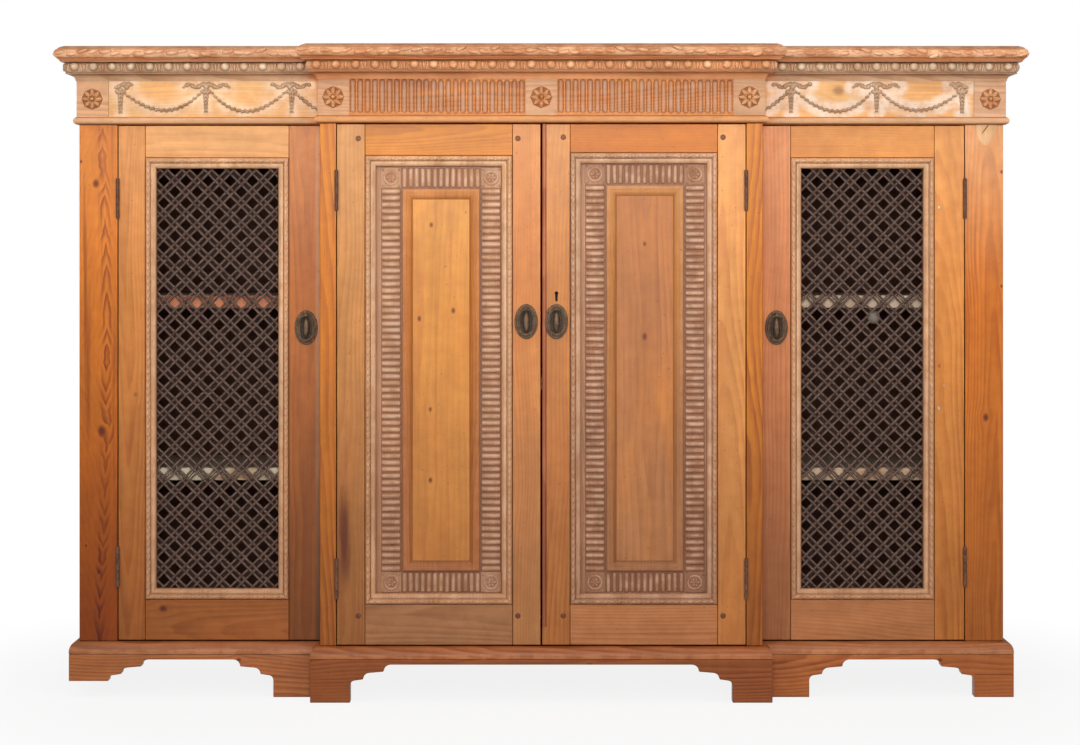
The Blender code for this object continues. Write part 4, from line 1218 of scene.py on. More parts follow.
@dataclass
class Studio:
    """The floor, the lights and the camera."""

    lens: float = 84.2
    distance: float = 4.75
    eye_height: float = 0.83
    shift: Point = (-0.0012, -0.1095)
    floor_size: float = 30
    floor_level: float = -0.0005
    floor_glow: Edges = (0.8, 1.5, 0.86, 1.0)
    floor_seen: tuple[Colour, Colour] = (tint(252, 252, 252), tint(248, 248, 248))
    floor_unseen: Colour = tint(150, 146, 140)
    fill: float = 0.26
    lamps: tuple[Lamp, ...] = (
        Lamp("key_left", (-1.5, -2.7, 1.70), (-0.3, -0.1, 1.30), 1.0, 6.6, 105),
        Lamp("key_right", (1.5, -2.7, 1.70), (0.3, -0.1, 1.30), 1.0, 6.6, 105),
        Lamp("front", (0.0, -4.6, 1.35), (0.0, -0.1, 1.05), 1.2, 26, 105),
        Lamp("over", (0.0, -1.2, 3.3), (0.0, 0.0, 0.6), 2.2, 20),
    )

    def build(self) -> None:
        """Make the whole studio."""
        scene = bpy.context.scene
        scene.view_settings.view_transform = "Standard"
        self.floor()
        self.world()
        for lamp in self.lamps:
            lamp.build()
        camera = bpy.data.objects.new("camera", bpy.data.cameras.new("camera"))
        camera.data.lens = self.lens
        camera.data.shift_x, camera.data.shift_y = self.shift
        camera.location = (0.0, PLAN.wing_y - self.distance, self.eye_height)
        camera.rotation_euler = (math.radians(90), 0, 0)
        scene.collection.objects.link(camera)
        scene.camera = camera

    def floor(self) -> None:
        """A wide pale floor, softly shadowed near the cabinet and white farther off."""
        shape = bmesh.new()
        bmesh.ops.create_grid(shape, x_segments=8, y_segments=8, size=self.floor_size)
        mesh = bpy.data.meshes.new("floor")
        shape.to_mesh(mesh)
        shape.free()
        tree = Tree("pale floor")
        grain = tree.noise(tree.place, 6.0, 3.0)
        rays = tree.node("ShaderNodeLightPath").outputs
        seen = tree.math("MAXIMUM", rays["Is Camera Ray"], rays["Is Glossy Ray"])
        white = tree.mix(grain, *self.floor_seen)
        tree.dress(Base_Color=tree.mix(seen, self.floor_unseen, white), Roughness=0.8)
        x, y = tree.axis["x"], tree.axis["y"]
        far = tree.math("SQRT", tree.add(tree.times(x, x), tree.times(y, y)))
        glow = tree.node("ShaderNodeEmission", (1.0, 1.0, 1.0), 1.0)
        mixed = tree.node("ShaderNodeMixShader",
                          tree.times(seen, tree.smooth(far, *self.floor_glow)),
                          tree.shader.outputs[0], glow.outputs[0])
        tree.plug(tree.nodes["Material Output"].inputs["Surface"], mixed.outputs[0])
        mesh.materials.append(tree.material)
        floor = bpy.data.objects.new("floor", mesh)
        floor.location.z = self.floor_level
        bpy.context.scene.collection.objects.link(floor)

    def world(self) -> None:
        """White behind the cabinet, and an even soft light all round it."""
        world = bpy.data.worlds.new("studio")
        world.use_nodes = True
        nodes, links = world.node_tree.nodes, world.node_tree.links
        rays = nodes.new("ShaderNodeLightPath")
        seen = nodes.new("ShaderNodeMath")
        seen.operation = "MAXIMUM"
        links.new(rays.outputs["Is Camera Ray"], seen.inputs[0])
        links.new(rays.outputs["Is Transmission Ray"], seen.inputs[1])
        strength = nodes.new("ShaderNodeMapRange")
        strength.inputs["To Min"].default_value = self.fill
        strength.inputs["To Max"].default_value = 1.0
        links.new(seen.outputs[0], strength.inputs["Value"])
        links.new(strength.outputs[0], nodes["Background"].inputs["Strength"])
        nodes["Background"].inputs["Color"].default_value = (1.0, 1.0, 1.0, 1.0)
        bpy.context.scene.world = world


@dataclass
class Case:
    """The ends, partitions, boards, stiles and shelves."""

    body: str = CASE
    shelf_edge: float = 0.0030
    shelf_easing: float = 0.002
    top_inside: float = 1.1965
    back_inside: float = 0.2225
    end_inside: float = 0.8670
    break_edge: float = PLAN.wing_y + 0.0005
    knots: dict[str, tuple[Knot, ...]] = field(default_factory=lambda: {
        "left_end_stile": (
            Knot(0.963, -0.837, 0.0065), Knot(0.498, -0.826, 0.0080),
            Knot(1.004, -0.8655, 0.0026), Knot(0.232, -0.833, 0.0030),
            Knot(0.282, -0.856, 0.0022)),
        "right_end_stile": (
            Knot(0.523, 0.836, 0.0060), Knot(0.985, 0.8655, 0.0026),
            Knot(0.770, 0.8655, 0.0026)),
    })
    # The shelves' front edges are near white, partly as painted light, so that they read as
    # brightly lit behind the grilles.
    shelves: dict[str, Colour] = field(default_factory=lambda: {
        "left_upper_shelf": tint(255, 156, 112), "left_lower_shelf": tint(255, 240, 212),
        "right_upper_shelf": tint(255, 230, 200), "right_lower_shelf": tint(255, 222, 190),
    })

    def build(self) -> None:
        """Finish every board of the case."""
        for hand, sign in SIDES:
            self.stiles(hand, sign)
            # The end panels' inner faces and the partitions behind the front are dark, partly as
            # painted shade inside the case.
            outside = RED.plain(stain=("x", self.end_inside, -1.0))
            inside = ORANGE.plain(stain=("y", self.break_edge, 1.0), stain_colour=tint(116, 60, 36))
            for node, finish in ((f"{hand}_end_panel", outside), (f"{hand}_partition", inside)):
                finish_node(node, finish.board(node, Grain.END_UP, 0.05))
        for node, front in self.shelves.items():
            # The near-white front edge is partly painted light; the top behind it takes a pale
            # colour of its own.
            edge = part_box(node)[0].y + self.shelf_edge
            finish = Pine(front, SHELF.light, front, foot=SHELF.foot, bleach=0.0,
                          stain=("y", edge, 1.0), stain_colour=tint(208, 188, 166))
            eased(node, finish.board(node, Grain.FLAT), self.body, self.shelf_easing)
        # The bottom board, the top's underside and the back's inner face are dark too, partly as
        # painted shade inside the case.
        bottom = PINE.plain(stain=("z", -2.0, 1.0))
        top = DUSTY.plain(stain=("z", self.top_inside, -1.0), roughness=0.5)
        back = replace(RAW, stain=("y", self.back_inside, -1.0))
        for node, finish, grain in (("centre_shelf", SHELF, Grain.FLAT),
                                    ("bottom_board", bottom, Grain.FLAT),
                                    ("top_board", top, Grain.FLAT),
                                    ("back_boards", back, Grain.UP)):
            finish_node(node, finish.board(node, grain))
        LOG.info("case boards finished")

    def stiles(self, hand: str, sign: int) -> None:
        """Ease and finish the end stile and the centre stile of one side.

        Args:
            hand: Left or right.
            sign: The sign of x there.
        """
        node = f"{hand}_end_stile"
        if sign < 0:
            cut = Cut(Grain.UP, heart=-0.8215, depth=0.090, taper=-0.130, seed=3.0, rings=0.0050,
                      bold=1.1, knots=self.knots[node], ripple=0.010, vee=0.42, calm=0.15)
            finish = RED.toned((1.03, 1.02, 0.42), foot=(0.30, 0.18, 0.02))
        else:
            cut = Cut(Grain.UP, heart=0.845, depth=0.018, taper=0.020, seed=5.0, rings=0.0048,
                      bold=0.7, knots=self.knots[node])
            finish = ORANGE.toned((1.01, 0.85, 0.38), foot=(0.48, 0.49, 0.96), bleach=0.50)
        eased(node, finish.material(node, cut), self.body)
        node = f"{hand}_centre_stile"
        finish = ORANGE.toned((0.98, 0.90, 0.20), foot=(0.42, 0.40, 1.20))
        eased(node, finish.board(node, Grain.UP, sign * 0.40), self.body)


@dataclass
class Swags:
    """A wing's carving: chains of husks, bows and drops, and the places where they lie."""

    sign: int
    face: float
    pile: Pile = field(default_factory=Pile)
    places: list[Point] = field(default_factory=list)
    chains: tuple[tuple[Point, Point, Point], ...] = (
        ((0.7840, 1.1330), (0.7074, 1.1003), (0.6400, 1.1330)),
        ((0.6190, 1.1330), (0.5533, 1.0984), (0.4790, 1.1360)),
        ((0.4660, 1.1360), (0.4330, 1.1090), (0.4190, 1.1030)))
    bows: tuple[tuple[float, Point], ...] = (
        (0.7790, (0.011, 0.022)), (0.6290, (0.044, 0.044)), (0.4722, (0.037, 0.034)))
    drops: tuple[tuple[float, float], ...] = (
        (0.7905, 1.0930), (0.6300, 1.0950), (0.4690, 1.0940))
    bow_level: float = 1.1462
    drop_top: float = 1.1380
    husk_pitch: float = 0.0050
    husk_sway: float = 0.0010
    drop_husks: int = 6
    fold_pitch: float = 0.0052
    fold_wave: float = 0.013
    fold_rise: float = 0.0030

    def carve(self) -> None:
        """Carve the chains, the bows and the drops."""
        for chain in self.chains:
            self.chain(chain)
        for x, reach in self.bows:
            self.bow(self.sign * x, reach if self.sign > 0 else reach[::-1])
        for x, end in self.drops:
            self.drop(self.sign * x, end)

    def put(self, form: Form, x: float, z: float, turn: float = 0.0, size: float = 1.0) -> None:
        """Set one form on the frieze."""
        self.pile.stamp(form, on_face(Facing.FRONT, x, z, self.face, turn, size))

    @staticmethod
    def bud(width: float, height: float, rise: float, steps: int = 12) -> Form:
        """A round form with the carving's usual dirt and painted shade at its foot, and wear."""
        return Form.oval(width, height, rise, steps, worn=0.7, dirty=0.5)

    def chain(self, points: Sequence[Point]) -> None:
        """A chain of husks, by its start, its lowest point and its end."""
        start, low, end = (np.array(point) for point in points)
        share = np.linspace(0, 1, 200)[:, None]
        line = ((1 - share) ** 2 * start + 2 * share * (1 - share) * (2 * low - (start + end) / 2)
                + share ** 2 * end)
        length = np.concatenate([[0], np.cumsum(np.hypot(*np.diff(line, axis=0).T))])
        count = max(2, round(length[-1] / self.husk_pitch))
        husk = self.bud(0.0056, 0.0066, 0.0030, 8)
        for i in range(count):
            part = (i + 0.5) / count
            x, z = (float(np.interp(length[-1] * part, length, axis)) for axis in line.T)
            size = 0.84 + 0.30 * math.sin(math.pi * part)
            self.put(husk, self.sign * x, z + self.husk_sway * (-1) ** i, 0, size)
            self.places.append((self.sign * x, z))

    def bow(self, x: float, reach: Point) -> None:
        """A ribbon bow: wavy bands to both sides of a knot.

        Args:
            x: Its middle.
            reach: How far it goes to the left and to the right.
        """
        fold = self.bud(0.0112, 0.0094, 0.0034, 10)
        self.places.append((x, self.bow_level))
        for side, far in zip((-1, 1), reach):
            count = max(2, round(far / self.fold_pitch))
            for i in range(count):
                share = (i + 0.7) / count
                wave = share * far / self.fold_wave * math.pi
                spot = (x + side * far * share, self.bow_level + self.fold_rise * math.sin(wave))
                turn = math.degrees(math.atan(0.72 * math.cos(wave))) * side
                self.put(fold, *spot, turn, 1.05 - 0.35 * share + 0.12 * (-1) ** i)
                self.places.append(spot)
        self.put(Form.oval(0.0105, 0.0125, 0.0048, dirty=0.5), x, self.bow_level - 0.0012)

    def drop(self, x: float, end: float) -> None:
        """A string of husks that get smaller down to its end, under a small cluster."""
        step = (self.drop_top - end) / self.drop_husks
        husk = Form.leaf(step * 1.30, 0.0052, 0.0030, steps=8, worn=0.7, dirty=0.5)
        for i in range(self.drop_husks):
            for lean in (-26, 26):
                self.put(husk, x, self.drop_top - step * i, -90 + lean, 1.15 - 0.08 * i)
            self.places.append((x, self.drop_top - step * (i + 0.5)))
        for across, up in ((-0.0062, -0.0025), (0.0062, -0.0025), (0.0, 0.0010)):
            self.put(self.bud(0.0092, 0.0082, 0.0036), x + across, self.drop_top + up)


@dataclass
class Crown:
    """The frieze with its carving, and the mouldings over and under it."""

    body: str = CASE
    proud: float = 0.0045
    depth: float = 0.0260
    block: float = 0.0590
    end_block: float = 0.0604
    seam: float = 0.0002
    heart: float = 1.12
    flute_pitch: float = 0.0136
    flute_width: float = 0.0098
    flute_depth: float = 0.0044
    flute_ends: Point = (0.0045, 0.0012)
    patera: float = 0.041
    end_patera: Point = (0.8436, 0.040)
    leaf_pitch: float = 0.0210
    leaf_reach: float = 0.0394
    egg_pitch: float = 0.0360
    egg_reach: float = 0.0226
    last_dart: float = PLAN.back_y - 0.0040
    ogee: tuple[Point, ...] = (
        (0.0305, 0.0), (0.0309, 0.0012), (0.0318, 0.0026), (0.0330, 0.0037), (0.0342, 0.0045),
        (0.0346, 0.0054), (0.0343, 0.0060))
    torus_level: float = 0.0150
    lip: tuple[Point, ...] = ((0.0350, 0.0243), (0.0346, 0.0254))
    brim: tuple[Point, ...] = ((0.0300, -0.0022), (0.0262, -0.0008), (0.0240, 0.0))
    bed_height: float = 0.0340
    cove: Point = (0.0215, 0.0125)
    fillet: Point = (0.0222, 0.0020)
    ovolo_level: float = 0.0112
    burn: Knot = Knot(0.5593, 1.1375, 0.0105, 0.62, 0.8)

    @property
    def back(self) -> float:
        """Where the mouldings' backs lie on the frieze."""
        return self.proud + FIT

    def build(self) -> None:
        """Make the three mouldings, the frieze boards and their carving."""
        self.cornice()
        self.bed()
        self.astragal()
        self.centre_frieze()
        for hand, sign in SIDES:
            self.wing_frieze(hand, sign)
            node = f"{hand}_end_frieze"
            eased(node, PALE.board(node, Grain.END_ALONG, self.heart), self.body)

    def along(self, reach: float, pitch: float) -> list[tuple[Facing, float, float]]:
        """Places at an even pitch along the visible faces of a moulding.

        Args:
            reach: How far the moulding stands out of the case.
            pitch: The spacing.

        Returns:
            The facing, the place along it and the distance out of each.
        """
        places = []
        for facing, low, high, out in PLAN.runs():
            if facing is Facing.FRONT:
                low += reach if low == PLAN.centre_half else -reach
                high += -reach if high == -PLAN.centre_half else reach
            elif facing is Facing.LEFT:
                high += reach
            else:
                low -= reach
            count = max(1, round((high - low) / pitch))
            step = (high - low) / count
            places += [(facing, low + step * (i + 0.5), out + reach) for i in range(count)]
        return places

    def cornice(self) -> None:
        """The cornice: a sloped top edge, a leaf-carved torus and an ogee under it."""
        back, foot, top = self.back, PLAN.cornice_foot, PLAN.top
        level = foot + self.torus_level
        torus = curve((0.0340, level), (0.0070, 0.0089), -82, 82, 8)
        profile = np.array([(back, foot), *lifted(self.ogee, foot), *torus,
                            *lifted(self.lip, foot), *lifted(self.brim, top), (back, top)])
        pile = Pile()
        # The crease between torus and lip is darkened: dirt and painted shade.
        pile.sweep(PLAN.path(), profile, Facing.PLAN,
                   crevice=stretches(len(profile), (16, 18, 0.25)),
                   wear=stretches(len(profile), (8, 16, 0.75), (18, 23, 0.55)))
        leaf = Form.leaf(0.0235, 0.0104, 0.0034, sink=0.002, dirty=0.30)
        draw = random.Random("cornice")
        for facing, place, out in self.along(self.leaf_reach, self.leaf_pitch):
            flip, root = (0, place - 0.011) if place < 0 else (180, place + 0.011)
            pile.stamp(leaf, on_face(facing, root, level + draw.uniform(-0.0022, 0.0026), out,
                                     flip + draw.uniform(-18, 18), draw.uniform(0.80, 1.10)))
        material = CORNICE.board("cornice", Grain.ACROSS, 1.2)
        piece = pile.build("cornice_carved", material, self.body)
        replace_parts(piece, "cornice_moulding")
        LOG.info("cornice: %d points", pile.count)

    def bed(self) -> None:
        """The bed moulding: a plain cove under a course of eggs and darts."""
        back, foot, top = self.back, PLAN.bed_foot, PLAN.bed_foot + self.bed_height
        reach, rise = self.cove
        cove = curve((reach, foot), (reach - back - 0.0012, rise), 180, 90, 8)
        cove_top = foot + rise
        edge, band = self.fillet
        level = cove_top + self.ovolo_level
        ovolo = curve((0.0200, level), (0.0042, 0.0092), -75, 85, 8)
        profile = np.array([(back, foot), *cove, (edge, cove_top), (edge, cove_top + band),
                            *ovolo, (edge, top), (back, top)])
        # The cove's top, the fillet and the ovolo's foot are darkened: dirt and painted shade.
        dirt = stretches(len(profile), (10, 13, 0.55), (13, 19, 0.12), (19, 22, 0.6))
        pile = Pile()
        pile.sweep(PLAN.path(), profile, Facing.PLAN, crevice=dirt)
        egg = Form.oval(0.0190, 0.0172, 0.0072, 14, sink=0.002, dirty=0.6)
        shell = Form.pill(0.0150, 0.0040, 0.0030, sink=0.002, worn=0.35, dirty=0.5)
        dart = Form.leaf(0.0150, 0.0068, 0.0040, sink=0.002, worn=0.3, dirty=0.5)
        for facing, place, out in self.along(self.egg_reach, self.egg_pitch):
            pile.stamp(egg, on_face(facing, place, level + 0.0016, out))
            for side in (-1, 1):
                pile.stamp(shell, on_face(facing, place + side * 0.0122, level, out,
                                          90 + side * 14))
            spot = on_face(facing, place + self.egg_pitch / 2, level + 0.0076, out, -90)
            if spot.translation.y < self.last_dart:
                pile.stamp(dart, spot)
        material = BED.material("bed moulding", Cut.of("bed", Grain.ACROSS, 1.17))
        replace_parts(pile.build("bed_carved", material, self.body), "bed_moulding")
        LOG.info("bed moulding: %d points", pile.count)

    def astragal(self) -> None:
        """The half-round moulding under the frieze."""
        back, foot, top = self.back, PLAN.frieze_foot, PLAN.astragal_top
        bead = curve((0.0054, (foot + top) / 2), (0.0048, 0.0062), -80, 80, 10)
        profile = np.array([(back, foot), *bead, (back, top)])
        pile = Pile()
        # Both edges are darkened where the bead meets the case: dirt and painted shadow.
        pile.sweep(PLAN.path(), profile, Facing.PLAN,
                   crevice=stretches(len(profile), (-2, None, 0.7), (0, 3, 0.6)))
        material = ROUND.board("astragal", Grain.ACROSS, 1.08, bold=0.5)
        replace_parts(pile.build("astragal_wood", material, self.body), "astragal_moulding")

    def fluted_field(self, pile: Pile, left: float, right: float, face: float) -> None:
        """Add a board face cut with round-ended upright flutes.

        Args:
            pile: The piece.
            left: The field's left end.
            right: Its right end.
            face: How far out its face is.
        """
        count = round((right - left) / self.flute_pitch)
        step = (right - left) / count
        across = np.linspace(left, right, count * 12 + 1)
        up = np.concatenate([[PLAN.frieze_foot],
                             np.linspace(PLAN.astragal_top, PLAN.bed_foot, 45),
                             [PLAN.frieze_top]])
        wide, tall = np.meshgrid(across, up, indexing="ij")
        nearest = left + (np.floor((wide - left) / step).clip(0, count - 1) + 0.5) * step
        half = self.flute_width / 2
        low = PLAN.astragal_top + self.flute_ends[0] + half
        high = PLAN.bed_foot - self.flute_ends[1] - half
        wobble = 0.0006 * np.sin(nearest * 911.0)
        over = np.maximum(np.maximum(low + wobble - tall, tall - high - wobble), 0)
        far = np.hypot(wide - nearest, over) / half
        hollow = np.sqrt(np.clip(1 - far ** 2, 0, 1))
        front = np.stack([wide, -(face - self.flute_depth * hollow), tall], -1)
        # Each flute's rim is darkened: dirt and painted shade at the hollow's edge.
        pile.slab(front, -(face - self.depth), ground=0.85 * hollow ** 0.5,
                  crevice=0.40 * np.exp(-((far - 0.92) / 0.14) ** 2))

    def centre_frieze(self) -> None:
        """The centre frieze: fluted fields between blocks with paterae, and its returns."""
        end, face = PLAN.centre_half + self.proud, -PLAN.centre_y + self.proud
        low, high = PLAN.frieze_foot, PLAN.frieze_top
        inner = self.block / 2
        pile = Pile()
        for left, right in ((inner, end - self.block), (-end + self.block, -inner)):
            self.fluted_field(pile, left, right, face - 0.0012)
        finish = ORANGE.toned((0.86, 0.86, 0.86), ground=tint(192, 152, 126))
        material = finish.board("centre frieze", Grain.ACROSS, self.heart)
        piece = pile.build("centre_frieze_flutes", material, self.body)
        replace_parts(piece, "centre_frieze")
        flowers = Pile()
        for name, x in (("left", -end + inner), ("middle", 0.0), ("right", end - inner)):
            block = f"{name}_frieze_block"
            plank(block, (x - inner, -face, low), (x + inner, -face + self.depth, high),
                  BLOCK.board(block, Grain.ACROSS, self.heart), self.body, 0.0010)
            rosette(flowers, x, PLAN.rosette_level, face, self.patera)
        petals = FLOWER.board("paterae", Grain.ACROSS, self.heart)
        flowers.build("centre_paterae", petals, self.body)
        back = PLAN.wing_y + self.depth - self.proud
        for hand, sign in SIDES:
            xs = sorted((sign * end, sign * (end - self.depth)))
            node = f"{hand}_frieze_return"
            plank(node, (xs[0], -face + self.depth + FIT, low), (xs[1], back, high),
                  PALE.board(node, Grain.END_ALONG, self.heart), self.body)
        LOG.info("centre frieze: %d points", pile.count + flowers.count)

    def wing_frieze(self, hand: str, sign: int) -> None:
        """A wing's frieze: an end block with a patera, and a field with swags.

        Args:
            hand: Left or right.
            sign: The sign of x on that side.
        """
        node = f"{hand}_frieze"
        low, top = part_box(node)[0].z, PLAN.frieze_top
        face = -PLAN.wing_y + self.proud
        dust = (1.0, 1.0, 1.0) if sign < 0 else (1.0, 1.06, 1.18)
        outer = PLAN.half + self.proud
        joint = sign * (outer - self.end_block)
        inner = sign * (PLAN.centre_half + self.back)
        xs = sorted((sign * outer, joint + sign * self.seam))
        block = f"{hand}_end_block"
        plank(block, (xs[0], -face, low), (xs[1], -face + self.depth, top),
              BLOCK.toned(dust).board(block, Grain.ACROSS, self.heart), self.body, 0.0008)
        swags = Swags(sign, face)
        swags.carve()
        material = SWAG.board(f"{hand} swags", Grain.ACROSS, self.heart)
        swags.pile.build(f"{hand}_swags", material, self.body)
        flower = Pile()
        x, width = self.end_patera
        rosette(flower, sign * x, PLAN.rosette_level, face, width)
        petals = FLOWER.toned(dust).board(f"{hand} patera", Grain.ACROSS, self.heart)
        flower.build(f"{hand}_patera", petals, self.body)
        xs = sorted((joint - sign * self.seam, inner))
        wide, tall = np.meshgrid(np.linspace(*xs, 200), np.linspace(low, top, 44), indexing="ij")
        marks = np.array(swags.places)
        far = np.min(np.hypot(wide[..., None] - marks[:, 0], tall[..., None] - marks[:, 1]), -1)
        spread, fall = (0.0150, 2) if sign < 0 else (0.0172, 6)
        board = Pile()
        board.slab(np.stack([wide, np.full_like(wide, -face), tall], -1), -face + self.depth,
                   ground=np.exp(-(far / spread) ** fall),
                   crevice=0.16 * np.exp(-(far / 0.0034) ** 2))
        halo = PALE.toned((0.95, 0.90, 0.74), ground=tint(250, 216, 180))
        if sign > 0:
            halo = PALE.toned((0.94, 0.85, 0.62), ground=tint(246, 220, 198))
        burns = (self.burn,) if sign > 0 else ()
        material = halo.board(node, Grain.ACROSS, self.heart, knots=burns)
        piece = board.build(f"{hand}_frieze_field", material, self.body)
        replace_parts(piece, node)
        LOG.info("%s frieze: %d points", hand, swags.pile.count + board.count)


@dataclass
class Plinth:
    """The bracket plinth and the round moulding along its top."""

    body: str = CASE
    reach: float = 0.0170
    foot: float = 0.0803
    height: float = 0.0224
    shoulder: float = 0.0045
    nose_root: float = 0.0035
    arris: float = 0.0008
    easing: float = 0.0014
    heart: float = 0.04
    knot: tuple[float, float, float] = (0.09, 0.070, 0.004)
    tones: dict[str, Colour] = field(default_factory=lambda: {
        "left_plinth_front": (0.94, 1.02, 1.00), "centre_plinth_front": (0.64, 0.56, 0.38),
        "right_plinth_front": (1.04, 1.02, 0.80),
    })

    def build(self) -> None:
        """Finish the plinth's boards and run the moulding."""
        for node, tone in self.tones.items():
            low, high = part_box(node)
            along, across, size = self.knot
            knot = Knot((low.x + high.x) / 2 + along, across, size)
            material = DARK.toned(tone).board(node, Grain.ACROSS, self.heart, knots=[knot])
            eased(node, material, self.body, self.easing)
        for hand, _ in SIDES:
            node = f"{hand}_plinth_side"
            eased(node, DARK.board(node, Grain.END_ALONG, self.heart), self.body, self.easing)
        foot, top = self.foot, self.foot + self.height
        shoulder = foot + self.shoulder
        nose = curve((self.nose_root, shoulder), (self.reach - self.nose_root, top - shoulder),
                     0, 90, 9)
        profile = np.array([(FIT, foot), (self.reach - self.arris, foot),
                            (self.reach, foot + self.arris), *nose, (FIT, top)])
        pile = Pile()
        pile.sweep(PLAN.path(), profile, Facing.PLAN,
                   wear=stretches(len(profile), (1, 5, 0.55)))
        finish = DARK.toned((0.89, 1.00, 1.07), worn=tint(222, 158, 116),
                            centre_glaze=(0.93, 0.82, 0.66))
        material = finish.board("plinth moulding", Grain.ACROSS, 0.09)
        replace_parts(pile.build("plinth_moulding_wood", material, self.body), "plinth_moulding")
        LOG.info("plinth finished")


def round_trip(left: float, right: float, foot: float, top: float) -> list[Point]:
    """The corners of an upright rectangle, up its left side first."""
    return [(left, foot), (left, top), (right, top), (right, foot)]


@dataclass
class Door:
    """A framed door: stiles, rails, the carved moulding round its opening, hinges and pull."""

    name: str
    sign: int
    knots: tuple[Knot, ...] = ()
    finishes: dict[str, Pine] = field(default_factory=dict)
    cuts: dict[str, list[Recess]] = field(default_factory=dict)
    stile: float = 0.0560
    top_rail: float = 0.0600
    bottom_rail: float = 0.0760
    thickness: float = 0.0240
    bead_width: float = 0.0200
    bead_depth: float = 0.0127
    torus: float = 0.0052
    slope: tuple[Point, ...] = (
        (0.0104, -0.0008), (0.0108, 0.0010), (0.0124, 0.0016), (0.0150, 0.0008),
        (0.0176, -0.0010), (0.0192, -0.0026), (0.0200, -0.0046))
    tongue_pitch: float = 0.0130
    lean: float = 0.0
    mould: Pine = MOULD
    pegged: bool = False
    peg_width: float = 0.0106
    peg_edges: Point = (0.0125, 0.0100)
    peg_shares: Point = (0.72, 0.46)

    @property
    def body(self) -> str:
        """The body that the door's pieces ride on."""
        return f"{self.name}_door"

    def place(self) -> tuple[Vector, Vector]:
        """The frame's corners."""
        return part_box(f"{self.name}_door_frame")

    def opening(self, inset: float = 0.0) -> Edges:
        """The opening's left, right, foot and top, drawn in; lean moves it sideways."""
        low, high = self.place()
        return (low.x + self.stile + self.lean + inset, high.x - self.stile + self.lean - inset,
                low.z + self.bottom_rail + inset, high.z - self.top_rail - inset)

    def build(self) -> None:
        """Make the door's own pieces."""
        self.frame_boards()
        self.opening_moulding()
        Pull(self.name, self.body).build()
        for level in ("upper", "lower"):
            Hinge(f"{self.name}_{level}_hinge").build()
        LOG.info("%s door finished", self.name)

    def frame_boards(self) -> None:
        """Two stiles the door's full height and two rails between them."""
        low, high = self.place()
        left, right, foot, top = self.opening()
        boards = {
            "left_stile": ((low.x, low.z), (left - FIT, high.z), Grain.UP),
            "right_stile": ((right + FIT, low.z), (high.x, high.z), Grain.UP),
            "top_rail": ((left + FIT, top), (right - FIT, high.z), Grain.ACROSS),
            "bottom_rail": ((left + FIT, low.z), (right - FIT, foot), Grain.ACROSS),
        }
        for part, (start, end, grain) in boards.items():
            name = f"{self.name}_{part}"
            across = 0 if grain is Grain.UP else 1
            material = self.finishes.get(part, PINE).board(
                name, grain, (start[across] + end[across]) / 2, bold=0.60,
                knots=self.knots_on(start, end, grain))
            piece = plank(name, (start[0], low.y, start[1]), (end[0], high.y, end[1]), material,
                          self.body, cuts=self.cuts.get(part, ()))
            if part == "left_stile":
                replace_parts(piece, f"{self.name}_door_frame")
        if self.pegged:
            self.pegs(left, right)

    def pegs(self, left: float, right: float) -> None:
        """The ends of the pegs that hold the frame's joints, by the opening's two sides."""
        low, high = self.place()
        pegs = Pile()
        peg = Form.oval(self.peg_width, self.peg_width, 0.0007, 10, dirty=1.0, worn=0.0)
        for x in (left - self.peg_edges[0], right + self.peg_edges[1]):
            for z in (low.z + self.bottom_rail * self.peg_shares[0],
                      high.z - self.top_rail * self.peg_shares[1]):
                pegs.stamp(peg, on_face(Facing.FRONT, x, z, -low.y))
        material = PEG.board(f"{self.name} pegs", Grain.FLAT)
        pegs.build(f"{self.name}_pegs", material, self.body)

    def knots_on(self, start: Point, end: Point, grain: Grain) -> list[Knot]:
        """The door's knots that lie on one board, given along and across its grain."""
        found = [knot for knot in self.knots
                 if start[0] <= knot.across <= end[0] and start[1] <= knot.along <= end[1]]
        if grain is Grain.ACROSS:
            found = [Knot(knot.across, knot.along, knot.size, knot.depth) for knot in found]
        return found

    def opening_moulding(self) -> None:
        """The moulding round the opening: a carved torus, a quirk and a slope to the panel."""
        left, right, foot, top = self.opening(FIT)
        front, middle = -self.place()[0].y, self.torus
        back = front - self.bead_depth
        torus = curve((middle, front + 0.0006), (0.0048, 0.0036), 180, 0, 10)
        profile = np.array([(0, back), (0, front - 0.0004), *torus, *lifted(self.slope, front),
                            (self.bead_width, back)])
        # The quirks and the slope's foot are darkened: dirt and painted shadow.
        crevice = stretches(len(profile), (1, 3, 1.0), (3, 4, 0.4), (12, 13, 0.5), (19, None, 0.5))
        pile = Pile()
        pile.sweep(round_trip(left, right, foot, top), profile, Facing.FRONT, closed=True,
                   crevice=crevice, wear=stretches(len(profile), (14, 18, 0.8)))
        tongue = Form.leaf(0.0112, 0.0074, 0.0022, steps=8, sink=0.0012, dirty=0.45)
        for start, end, fixed, upright in (
                (foot, top, left + middle, True), (foot, top, right - middle, True),
                (left, right, top - middle, False), (left, right, foot + middle, False)):
            count = round((end - start - 2 * middle) / self.tongue_pitch)
            pitch = (end - start - 2 * middle) / count
            for i in range(count):
                place = start + middle + pitch * (i + 0.1)
                x, z, turn = (fixed, place, 90) if upright else (place, fixed, 0)
                pile.stamp(tongue, on_face(Facing.FRONT, x, z, front + 0.0034, turn))
        name = f"{self.name}_opening_carving"
        material = self.mould.board(name, Grain.UP, (left + right) / 2)
        piece = pile.build(name, material, self.body)
        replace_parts(piece, f"{self.name}_opening_moulding")


